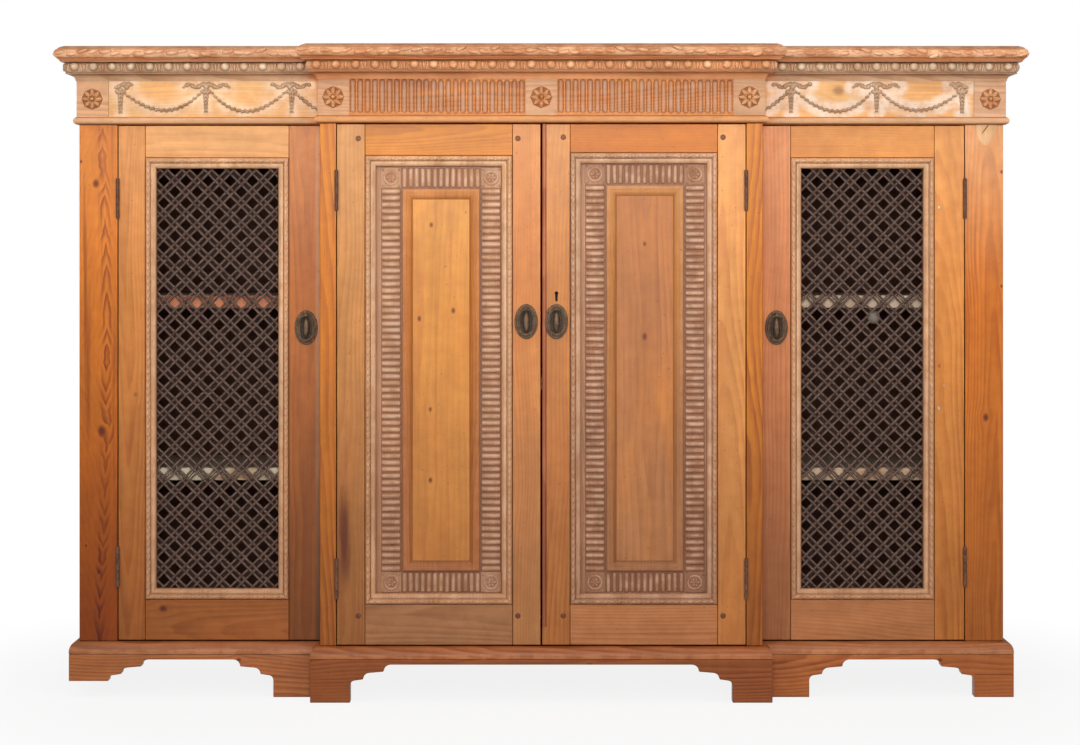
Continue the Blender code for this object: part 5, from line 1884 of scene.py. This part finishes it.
@dataclass(frozen=True)
class Weave:
    """The slanting lines of a grille, counted in meshes from an origin.

    span is the opening's left, right, low and high end. A line's way is 1 if it falls to the
    right and -1 if not, and across + way * up is the same all along it.
    """

    origin: Vector
    span: list[float]
    pitch: float
    least: float = 0.08

    def ends(self, way: int, line: float) -> Optional[Point]:
        """Where a line starts and ends in the opening, across, if it isn't too short."""
        left, right, low, high = self.span
        start, end = (line - high, line - low) if way > 0 else (line + low, line + high)
        start, end = max(left, start), min(right, end)
        return None if end - start < self.least else (start, end)

    def strand(self, way: int, line: float, share: np.ndarray, y: object,
               section: np.ndarray) -> np.ndarray:
        """The skin of a wire or band.

        Args:
            way: Its way.
            line: Its line.
            share: Its places across.
            y: Its depth at each.
            section: The points round it, across its way, out of the grille and up.

        Returns:
            Its points, in rows along it.
        """
        centre = np.column_stack([self.origin.x + share * self.pitch,
                                  np.broadcast_to(y, share.shape),
                                  self.origin.z + (line - share) * self.pitch * way])
        side = np.array([way, 0.0, 1.0]) / math.sqrt(2)
        ring = section[:, :1] * side + section[:, 1:] * np.array([0.0, 1.0, 0.0])
        return centre[:, None, :] + ring


@dataclass
class WingDoor(Door):
    """A wing door, with a woven wire grille."""

    wire: float = 0.0025
    pair: float = 0.0100
    weave: float = 0.0016
    filled: float = 0.22
    band_depth: float = 0.0008
    band_planes: Point = (0.0004, 0.0016)
    grille_depth: float = 0.0030
    slip: float = 0.0
    pitch: float = 0.0418
    origin: Point = (0.0, 0.0)
    columns: int = 7
    rows: int = 22

    @property
    def gap(self) -> float:
        """Half the distance between the wires of a pair, in meshes."""
        return self.pair / 2 * math.sqrt(2) / self.pitch

    def build(self) -> None:
        """Make the door, its grille and, where it has one, the slip along its free edge."""
        super().build()
        self.grille()
        if self.slip:
            low, high = self.place()
            name = f"{self.name}_edge_slip"
            plank(name, (high.x - self.slip, low.y - 0.0006, low.z),
                  (high.x, low.y + 0.0010, high.z),
                  SLIP.board(name, Grain.UP, high.x, bold=0.5), self.body, 0.0004)

    def grille(self) -> None:
        """Wires in pairs that cross on the slant, over and under, and a band in each pair."""
        node = f"{self.name}_grille"
        first, last = (corner + Vector((self.lean, 0.0, 0.0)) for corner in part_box(node))
        origin = Vector((self.origin[0], first.y, self.origin[1]))
        span = [(corner[axis] - origin[axis]) / self.pitch
                for axis in (0, 2) for corner in (first, last)]
        weave = Weave(origin, span, self.pitch)
        depth = origin.y + self.grille_depth
        ticks = np.arange(-1, self.columns + self.rows + 2)
        lines = sorted([k - self.gap for k in ticks] + [k + self.gap for k in ticks])
        wires, bands = Pile(), Pile()
        half = self.pair * self.filled / 2
        flat = np.array([(-half, 0.0), (half, 0.0), (half, self.band_depth),
                         (-half, self.band_depth)])
        for way, behind in zip((1, -1), self.band_planes):
            start = 0 if way > 0 else -self.rows
            for number, line in enumerate(lines):
                self.one_wire(wires, weave, way, line + start, number, depth)
            for tick in ticks:
                ends = weave.ends(way, tick + start)
                if ends:
                    bands.grid(weave.strand(way, tick + start, np.array(ends), depth + behind,
                                            flat), ring=True)
        piece = wires.build(f"{self.name}_wires", WIRE.material(f"{self.name} wire"), self.body, 80)
        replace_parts(piece, node)
        bands.build(f"{self.name}_bands", BAND.material(f"{self.name} band"), self.body)
        LOG.info("%s grille: %d points", self.name, wires.count + bands.count)

    def one_wire(self, pile: Pile, weave: Weave, way: int, line: float, number: int,
                 depth: float) -> None:
        """Add one wire of the weave.

        Args:
            pile: The piece.
            weave: The grille's lines.
            way: The wire's way.
            line: Its line.
            number: Its number in its set, which says where it goes over.
            depth: The grille's middle plane.
        """
        ends = weave.ends(way, line)
        if not ends:
            return
        start, end = ends
        crosses, sides = [], []
        for k in range(-self.rows - 1, self.columns + self.rows + 2):
            for half, shift in ((0, -self.gap), (1, self.gap)):
                place = (line + k + shift) / 2
                if start - 0.3 <= place <= end + 0.3:
                    crosses.append(place)
                    sides.append((-1) ** (2 * k + half + number) * way)
        order = np.argsort(crosses)
        knots, heights = np.array(crosses)[order], np.array(sides, float)[order]
        inside = knots[(knots > start) & (knots < end)]
        share = np.unique(np.concatenate([[start], inside, (inside[1:] + inside[:-1]) / 2, [end]]))
        lift = np.interp(share, knots, heights) * self.weave
        turn = np.radians(np.arange(6) * 60 + 30)
        section = np.column_stack([np.cos(turn), np.sin(turn)]) * self.wire
        pile.grid(weave.strand(way, line, share, depth - lift, section), ring=True)


@dataclass
class CentreDoor(Door):
    """A centre door, with a carved panel."""

    stile: float = 0.0520
    top_rail: float = 0.0580
    bottom_rail: float = 0.0750
    band: float = 0.0390
    side_pitch: float = 0.0123
    end_pitch: float = 0.0115
    pegged: bool = True
    inset: Edges = (0.0, 0.0, 0.0, 0.0)
    panel_depth: float = 0.0110
    border_rise: float = 0.0016
    rim: float = 0.0012
    reed: float = 0.0362
    block: float = 0.0188
    bead: float = 0.0080
    bead_foot: float = 0.035
    frame_gap: float = 0.0020
    frame_rise: float = 0.0080
    frame_width: float = 0.0205
    frame_slope: tuple[Point, ...] = (
        (0.0, -0.0012), (0.0012, 0.0), (0.0060, 0.0), (0.0074, -0.0010), (0.0086, -0.0010),
        (0.0112, -0.0016), (0.0146, -0.0036), (0.0174, -0.0058), (0.0197, -0.0066))
    field_edge: float = 0.0190
    field_finish: Pine = PINE
    frame_finish: Pine = RUSSET
    reed_finish: Pine = REED

    def build(self) -> None:
        """Make the door and its panel, and on the right door the meeting bead."""
        super().build()
        self.panel()
        if self.sign > 0:
            self.meeting_bead()

    def meeting_bead(self) -> None:
        """The round bead that covers the gap between the doors, cut short at its foot."""
        low, high = self.place()
        half, face = self.bead / 2, -low.y
        arc = curve((low.x + half, face + 0.0004), (half, 0.0034), 180, 0, 10)
        section = np.array([(low.x, face - 0.0010), *arc, (low.x + self.bead, face - 0.0010)])
        rows = [np.column_stack([section[:, 0], -section[:, 1], np.full(len(section), z)])
                for z in np.linspace(low.z + self.bead_foot, high.z, 12)]
        pile = Pile()
        # Both edges are darkened: dirt and painted shadow beside the bead.
        pile.grid(np.array(rows), ring=True,
                  crevice=stretches(len(section), (0, 3, 0.9), (-3, None, 0.9)))
        pile.build("meeting_bead", BEAD.board("meeting bead", Grain.UP), self.body)

    def panel(self) -> None:
        """A reeded border with corner paterae, a raised inner frame and a flat field."""
        node = f"{self.name}_panel"
        low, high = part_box(node)
        base = -(self.place()[0].y + self.thickness) + self.panel_depth
        ground = base + self.border_rise
        edges = zip(self.opening(self.bead_width + FIT), self.inset, (1, -1, 1, -1))
        left, right, foot, top = (edge + far * way for edge, far, way in edges)
        border = (left, right, foot, top)
        inner = (left + self.band, right - self.band, foot + self.band, top - self.band)
        cut = Cut.of(f"{self.name}_border", Grain.UP, (left + right) / 2)
        backing = plank(f"{self.name}_border_ground", (low.x, -ground, low.z),
                        (high.x, -base + self.panel_depth, high.z),
                        GROUND.material(f"{self.name} ground", cut), self.body, 0.0008)
        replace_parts(backing, node)
        # Darker strips under the reeds, painted shade and dirt in the gaps between them.
        self.gap_shade_strips(border, inner, ground, REED_GAP_SHADE.material(f"{self.name} hollows", cut))
        pile = Pile()
        self.reeds(pile, border, inner, ground)
        blocks = self.reed_finish.toned((1.05, 1.08, 1.08)).material(f"{self.name} corners", cut)
        half, size = self.band / 2, self.block
        for across, x in enumerate((left + half, right - half)):
            for level, z in (("low", foot + half), ("high", top - half)):
                plank(f"{self.name}_corner_{across}_{level}",
                      (x - size, -ground - self.border_rise, z - size),
                      (x + size, -ground - 0.0001, z + size), blocks, self.body)
                self.corner(pile, x, z, ground + self.border_rise)
        carved = self.reed_finish.material(f"{self.name} border", cut)
        pile.build(f"{self.name}_reeds", carved, self.body)
        self.inner_frame(inner, base)
        LOG.info("%s panel: %d points", self.name, pile.count)

    def gap_shade_strips(self, border: Edges, inner: Edges, ground: float, material: Material) -> None:
        """Darker strips under the reeds: painted shade and dirt in the narrow gaps between them.

        Args:
            border: The border's outer left, right, foot and top.
            inner: Its inner ones.
            ground: How far out the border's ground is.
            material: Their finish.
        """
        rim = self.rim
        left, right, foot, top = border
        west, east, south, north = inner
        for name, x0, x1, z0, z1 in (("left", left + rim, west + rim, south, north),
                                     ("right", east - rim, right - rim, south, north),
                                     ("low", west, east, foot + rim, south + rim),
                                     ("high", west, east, north - rim, top - rim)):
            plank(f"{self.name}_hollow_{name}", (x0, -ground - 0.0002, z0),
                  (x1, -ground + 0.0006, z1), material, self.body, 0.0001)

    def reeds(self, pile: Pile, border: Edges, inner: Edges, ground: float) -> None:
        """Add the border's reeds, each a little out of true.

        Args:
            pile: The piece.
            border: The border's outer left, right, foot and top.
            inner: Its inner ones.
            ground: How far out the border's ground is.
        """
        half = self.band / 2
        left, right, foot, top = border
        west, east, south, north = inner
        side = Form.pill(self.reed, 0.0104, 0.0036, blunt=0.45, dirty=0.7)
        end = Form.pill(self.reed, 0.0094, 0.0032, blunt=0.45, dirty=0.7)
        draw = random.Random(self.name)
        for form, low, high, pitch, lines, turn, sway, least in (
                (side, south, north, self.side_pitch, (left + half, right - half), 0, 0.8, 0.97),
                (end, west, east, self.end_pitch, (foot + half, top - half), 90, 1, 0.96)):
            count = round((high - low) / pitch)
            step = (high - low) / count
            for line in lines:
                for i in range(count):
                    run = low + step * (i + 0.5)
                    x, z = (run, line) if turn else (line, run)
                    pile.stamp(form, on_face(Facing.FRONT, x, z, ground,
                                             turn + draw.uniform(-sway, sway),
                                             draw.uniform(least, 1.02)))

    @staticmethod
    def corner(pile: Pile, x: float, z: float, ground: float) -> None:
        """A corner block's carving: a ring, a small flower and four buds."""
        slant = np.sin(circle(8))
        # The ring's base is darkened, dirt and painted shade, and its crest is worn.
        pile.grid(hoop((x, -ground, z), (0.0124, 0.0124), np.full(24, 0.0024), 8), ring=True,
                  loop=True, crevice=np.clip(0.5 - slant, 0, 1), wear=np.clip(slant, 0, 1))
        rosette(pile, x, z, ground, 0.0185, 6)
        for across in (-0.0148, 0.0148):
            for up in (-0.0148, 0.0148):
                pile.stamp(Form.oval(0.0046, 0.0046, 0.0020, 8),
                           on_face(Facing.FRONT, x + across, z + up, ground))

    def inner_frame(self, inner: Edges, base: float) -> None:
        """The raised frame round the field, and the field.

        Args:
            inner: The border's inner edges.
            base: How far out the panel's flat face is.
        """
        left, right, foot, top = (edge + self.frame_gap * way
                                  for edge, way in zip(inner, (1, -1, 1, -1)))
        root = base - 0.002
        profile = np.array([(0.0, root), *lifted(self.frame_slope, base + self.frame_rise),
                            (self.frame_width, base + 0.0008), (self.frame_width, root)])
        pile = Pile()
        # The frame's inner edge and its outer root are darkened: dirt and painted shadow where it
        # meets the field and the border.
        pile.sweep(round_trip(left, right, foot, top), profile, Facing.FRONT, closed=True,
                   crevice=stretches(len(profile), (8, None, 0.42), (0, 1, 0.9)),
                   wear=stretches(len(profile), (2, 4, 0.15)))
        name = f"{self.name}_inner_frame"
        middle = (left + right) / 2
        pile.build(name, self.frame_finish.board(name, Grain.UP, middle, bold=0.5), self.body)
        name = f"{self.name}_field"
        material = self.field_finish.board(
            name, Grain.UP, middle, bold=0.55, rings=0.0090,
            knots=self.knots_on((left, foot), (right, top), Grain.UP))
        edge = self.field_edge
        plank(name, (left + edge, -base - 0.0020, foot + edge),
              (right - edge, -base - 0.0002, top - edge), material, self.body, 0.0003)


@dataclass
class Pull:
    """An oval plate and the ring that hangs on it.

    The plate's section is drawn from the rim inwards: shares of its half width and half height,
    how far out it is, and its dirt.
    """

    name: str
    body: str
    steps: int = 40
    section: tuple[Edges, ...] = (
        (1.0, 1.0, 0.0, 0.0), (1.0, 1.0, 0.0012, 0.0), (0.97, 0.98, 0.0024, 0.0),
        (0.90, 0.93, 0.0030, 0.0), (0.80, 0.88, 0.0030, 0.1), (0.62, 0.84, 0.0027, 0.1),
        (0.51, 0.79, 0.0022, 0.5), (0.44, 0.75, 0.0008, 1.0), (0.34, 0.69, 0.0006, 1.0),
        (0.29, 0.60, 0.0012, 0.9), (0.24, 0.50, 0.0034, 0.1), (0.16, 0.34, 0.0044, 0.0),
        (0.05, 0.11, 0.0048, 0.0))
    lobes: int = 36
    lobe_ring: Point = (0.84, 0.90)
    pivot: float = 0.0235
    lug_out: float = 0.0075
    lug: tuple[Point, ...] = (
        (-0.0023, 0.0036), (-0.0018, 0.0044), (0.0018, 0.0044), (0.0023, 0.0036))
    thin: float = 0.00195
    swell: float = 0.0006
    ring_edge: float = 0.0020

    def build(self) -> None:
        """Make the plate and the ring."""
        self.plate()
        self.ring()

    def plate(self) -> None:
        """The plate: a gadrooned rim, a narrow dark hollow and a raised boss, with a lug."""
        node = f"{self.name}_pull_plate"
        low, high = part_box(node)
        (x, _, z), seat = (low + high) / 2, high.y
        wide, tall = (high.x - low.x) / 2, (high.z - low.z) / 2
        pile = Pile()
        pile.turned((x, seat, z), "xzy",
                    [(wide * across, tall * up, -out) for across, up, out, _ in self.section],
                    self.steps, crevice=np.array(self.section)[:, 3:])
        lobe = Form.pill(0.0068, 0.0026, 0.0011, dirty=0.9, worn=0.5)
        across, up = self.lobe_ring
        for a in circle(self.lobes):
            lean = math.degrees(math.atan2(tall * math.sin(a), wide * math.cos(a)))
            pile.stamp(lobe, on_face(Facing.FRONT, x + wide * across * math.cos(a),
                                     z + tall * up * math.sin(a), -seat + 0.0026, lean))
        pivot = z + self.pivot
        pile.turned((x, seat - self.lug_out, pivot), "yzx",
                    [(size, size, place) for place, size in self.lug], 14)
        pile.stamp(Form.oval(0.0070, 0.0100, 0.0060, 10, dirty=0.4),
                   on_face(Facing.FRONT, x, pivot, -seat))
        piece = pile.build(f"{self.name}_pull_backplate", BRASS.material(f"{self.name} plate"),
                           self.body)
        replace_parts(piece, node)

    def ring(self) -> None:
        """The hanging ring, thicker towards its foot."""
        node = f"{self.name}_pull_ring"
        low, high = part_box(node)
        size = (high - low) / 2
        thick = self.thin + self.swell * np.clip(-np.sin(circle(48)), 0, 1) ** 2
        points = hoop((low + high) / 2, (size.x - self.ring_edge, size.z - self.ring_edge),
                      thick, 10)
        pile = Pile()
        pile.grid(points, ring=True, loop=True)
        piece = pile.build(f"{self.name}_bail", BRASS.material(f"{self.name} bail"),
                           f"{self.name}_ring")
        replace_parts(piece, node)


@dataclass
class Hinge:
    """A butt hinge: five knuckles on a pin, and the case's leaf."""

    node: str
    knuckles: int = 5
    radius: float = 0.0034
    play: float = 0.0002
    arris: float = 0.0006
    worn: float = 0.8
    leaf: float = 0.0005
    leaf_start: float = 0.002
    leaf_play: float = 0.0004

    def build(self) -> None:
        """Make the hinge."""
        low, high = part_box(self.node)
        x, y = (low.x + high.x) / 2, low.y + self.radius
        pile = Pile()
        step = (high.z - low.z) / self.knuckles
        small = self.radius * self.worn
        for i in range(self.knuckles):
            start, end = low.z + step * i + self.play, low.z + step * (i + 1) - self.play
            pile.turned((x, y, 0.0), "xyz", [
                (small, small, start), (self.radius, self.radius, start + self.arris),
                (self.radius, self.radius, end - self.arris), (small, small, end)], 16)
        near, half = y + self.leaf_start, self.leaf
        corners = ((x - half, near), (x + half, near), (x + half, high.y), (x - half, high.y))
        pile.grid(np.array([[(*corner, z) for corner in corners]
                            for z in (low.z + self.leaf_play, high.z - self.leaf_play)]), ring=True)
        piece = pile.build(f"{self.node}_knuckles", IRON.material(f"{self.node} iron"), CASE)
        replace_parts(piece, self.node)


@dataclass
class Marks:
    """Old marks: a torn sliver, filled holes, a plugged mesh and the joint of a pieced foot."""

    torn: Point = (0.8380, 1.0560)
    sliver: tuple[float, float, float] = (0.0580, 0.0370, 0.0005)
    sliver_top: float = 0.0360
    tear: tuple[float, float, float] = (0.0240, 0.0030, 0.0009)
    tear_shift: float = 0.0100
    filled: tuple[tuple[float, float, float], ...] = (
        (0.7477, 0.9180, 0.0080), (0.7477, 0.5400, 0.0095), (0.7570, 0.5830, 0.0050))
    plugged: Point = (0.6270, 0.7110)
    plug: tuple[float, float, float] = (0.0250, 0.0260, 0.0040)
    joint: float = 0.0420
    joint_length: float = 0.0745
    joint_half: float = 0.0005

    def build(self) -> None:
        """Make all the marks."""
        out = -PLAN.wing_y
        x, z = self.torn
        pile = Pile()
        pile.stamp(Form.leaf(*self.sliver, 16, worn=0.0, dirty=0.1),
                   on_face(Facing.FRONT, x, z + self.sliver_top, out, -94))
        finish = FILLER.toned((0.95, 0.76, 0.58))
        pile.build("torn_sliver", finish.material("torn sliver", Cut.of("torn", Grain.UP, x)),
                   CASE)
        pile = Pile()
        pile.stamp(Form.leaf(*self.tear), on_face(Facing.FRONT, x - self.tear_shift, z, out, 54))
        pile.build("torn_edge", PEG.board("torn edge", Grain.UP, x), CASE)
        pile = Pile()
        for x, z, size in self.filled:
            pile.stamp(Form.oval(size * 0.7, size, 0.0006, 10, worn=0.0),
                       on_face(Facing.FRONT, x, z, out))
        material = FILLER.material("filler", Cut.of("filled_holes", Grain.UP, 0.75))
        pile.build("filled_holes", material, "right_wing_door")
        pile = Pile()
        low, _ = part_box("right_wing_grille")
        pile.stamp(Form.oval(*self.plug), on_face(Facing.FRONT, *self.plugged, -low.y - 0.0030))
        pile.build("plugged_mesh", PUTTY.material("putty"), "right_wing_door")
        low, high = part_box("right_plinth_front")
        plank("pieced_foot_joint",
              (high.x - self.joint_length, low.y - 0.0002, self.joint - self.joint_half),
              (high.x - EASING, low.y + 0.0010, self.joint + self.joint_half),
              PEG.toned((0.40, 0.36, 0.34)).board("foot joint", Grain.ACROSS, self.joint), CASE,
              0.0001)
        LOG.info("old marks made")


def finish_lock() -> None:
    """Give the lock's case and bolt their metal."""
    for node, finish in (("lock_case", SOOT), ("lock_bolt", BRASS)):
        finish_node(node, finish.material(f"{node} metal"))


def keyhole(x: float, z: float) -> Recess:
    """A keyhole, a round over a slot, from the door's face to the lock."""
    low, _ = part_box("lock_case")
    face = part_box("centre_right_door_frame")[0].y
    arc = curve((x, z + 0.0050), (0.0037, 0.0037), -50, 230, 14)
    slot = [(x - 0.0021, z - 0.0095), (x + 0.0021, z - 0.0095)]
    return Recess((*arc, *slot), face - PAST, low.y + PAST)


def lock_pocket() -> Recess:
    """The lock's pocket, open at the door's back and free edge."""
    low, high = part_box("lock_case")
    return Recess.oblong((low.x - PAST, low.y - FIT, low.z - FIT),
                         (high.x + FIT, high.y + PAST, high.z + FIT))


def bolt_mortice(reach: float = 0.0120) -> Recess:
    """The mortice that takes the thrown bolt, open at the other door's free edge."""
    low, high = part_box("lock_bolt")
    room = 2 * FIT
    return Recess.oblong((low.x - reach, low.y - room, low.z - room),
                         (low.x, high.y + room, high.z + room))


def wing_doors() -> list[Door]:
    """The two wing doors with their knots, finishes and grilles."""
    left = WingDoor(
        "left_wing", -1, (Knot(0.164, -0.711, 0.0065), Knot(0.566, -0.763, 0.004, 0.5)), {
            "left_stile": PINE.toned((0.98, 0.94, 0.77), foot=(0.42, 0.34, 0.34)),
            "right_stile": RUSSET.toned((0.92, 0.82, 0.48), foot=(0.32, 0.30, 0.26)),
            "top_rail": HONEY.toned((1.02, 1.10, 1.32)),
            "bottom_rail": RUSSET.toned((0.90, 0.88, 0.58))},
        lean=-0.0056, slip=0.0115, origin=(-0.7331, 0.1324))
    right = WingDoor(
        "right_wing", 1, (Knot(0.620, 0.748, 0.003, 0.6),), {
            "left_stile": RUSSET.toned((1.18, 1.20, 1.24), foot=(0.42, 0.42, 0.44)),
            "right_stile": PINE.toned((1.13, 1.10, 0.89), foot=(0.54, 0.48, 0.46)),
            "top_rail": PINE.toned((0.98, 0.87, 0.46)),
            "bottom_rail": DUSTY.toned((1.16, 1.16, 1.0))},
        origin=(0.4782, 0.1513))
    return [left, right]


def centre_doors() -> list[Door]:
    """The two centre doors with their knots, finishes and the cuts for the lock."""
    scar = Knot(0.300, -0.3655, 0.0125, 1.0, 0.12)
    pins = [Knot(along, across, size, 0.95) for along, across, size in (
        (0.8847, -0.2047, 0.0042), (0.7102, -0.2270, 0.0038), (0.7250, -0.1639, 0.0042),
        (0.5414, -0.2066, 0.0042), (0.4096, -0.2066, 0.0038),
        (0.8494, 0.1924, 0.0038), (0.6768, 0.1924, 0.0050))]
    # The frames' darker foot, partly painted shade.
    frame_foot_shade = (0.50, 0.47, 0.62)
    left = CentreDoor(
        "centre_left", -1, (*pins[:5], scar), {
            "left_stile": HONEY.toned((0.80, 0.78, 0.74), foot=(0.46, 0.40, 0.41)),
            "right_stile": PINE.toned((0.96, 0.86, 0.78), foot=(0.55, 0.66, 1.0)),
            "top_rail": ORANGE.toned((0.88, 0.88, 0.48)),
            "bottom_rail": DUSTY.toned((0.96, 1.08, 1.06))},
        {"right_stile": [bolt_mortice()]}, inset=(0.0080, 0.0, 0.0, 0.0015),
        field_finish=HONEY.toned((0.94, 0.88, 0.52), foot=(0.56, 0.52, 0.76)),
        frame_finish=RUSSET.toned((0.92, 0.88, 0.50), foot=frame_foot_shade),
        reed_finish=REED.toned((0.90, 0.89, 0.84)))
    right = CentreDoor(
        "centre_right", 1, tuple(pins[5:]), {
            "left_stile": PINE.toned((0.89, 0.87, 0.82)),
            "right_stile": HONEY.toned((1.02, 0.98, 0.93)),
            "top_rail": ORANGE.toned((0.80, 0.66, 0.24)),
            "bottom_rail": DUSTY.toned((1.25, 1.24, 1.03))},
        {"left_stile": [lock_pocket(), keyhole(0.0282, 0.7525)]},
        top_rail=0.0530, inset=(0.0065, 0.0020, 0.0, 0.0),
        mould=MOULD.toned((0.82, 0.80, 0.84), worn=tint(222, 182, 150)),
        field_finish=replace(
            DUSTY.toned((0.76, 0.62, 0.36), foot=(0.76, 0.92, 1.45), bleach=0.05),
            patch=tint(222, 132, 48)),
        frame_finish=RUSSET.toned((0.84, 0.95, 0.76), foot=frame_foot_shade),
        reed_finish=REED.toned((0.66, 0.58, 0.53)))
    return [left, right]


def main() -> None:
    """Build the studio and the cabinet, piece by piece."""
    logging.basicConfig(level=logging.INFO, format="%(message)s")
    for part in (Studio(), Case(), Crown(), Plinth(), *wing_doors(), *centre_doors(), Marks()):
        part.build()
    finish_lock()


if __name__ == "__main__":
    main()
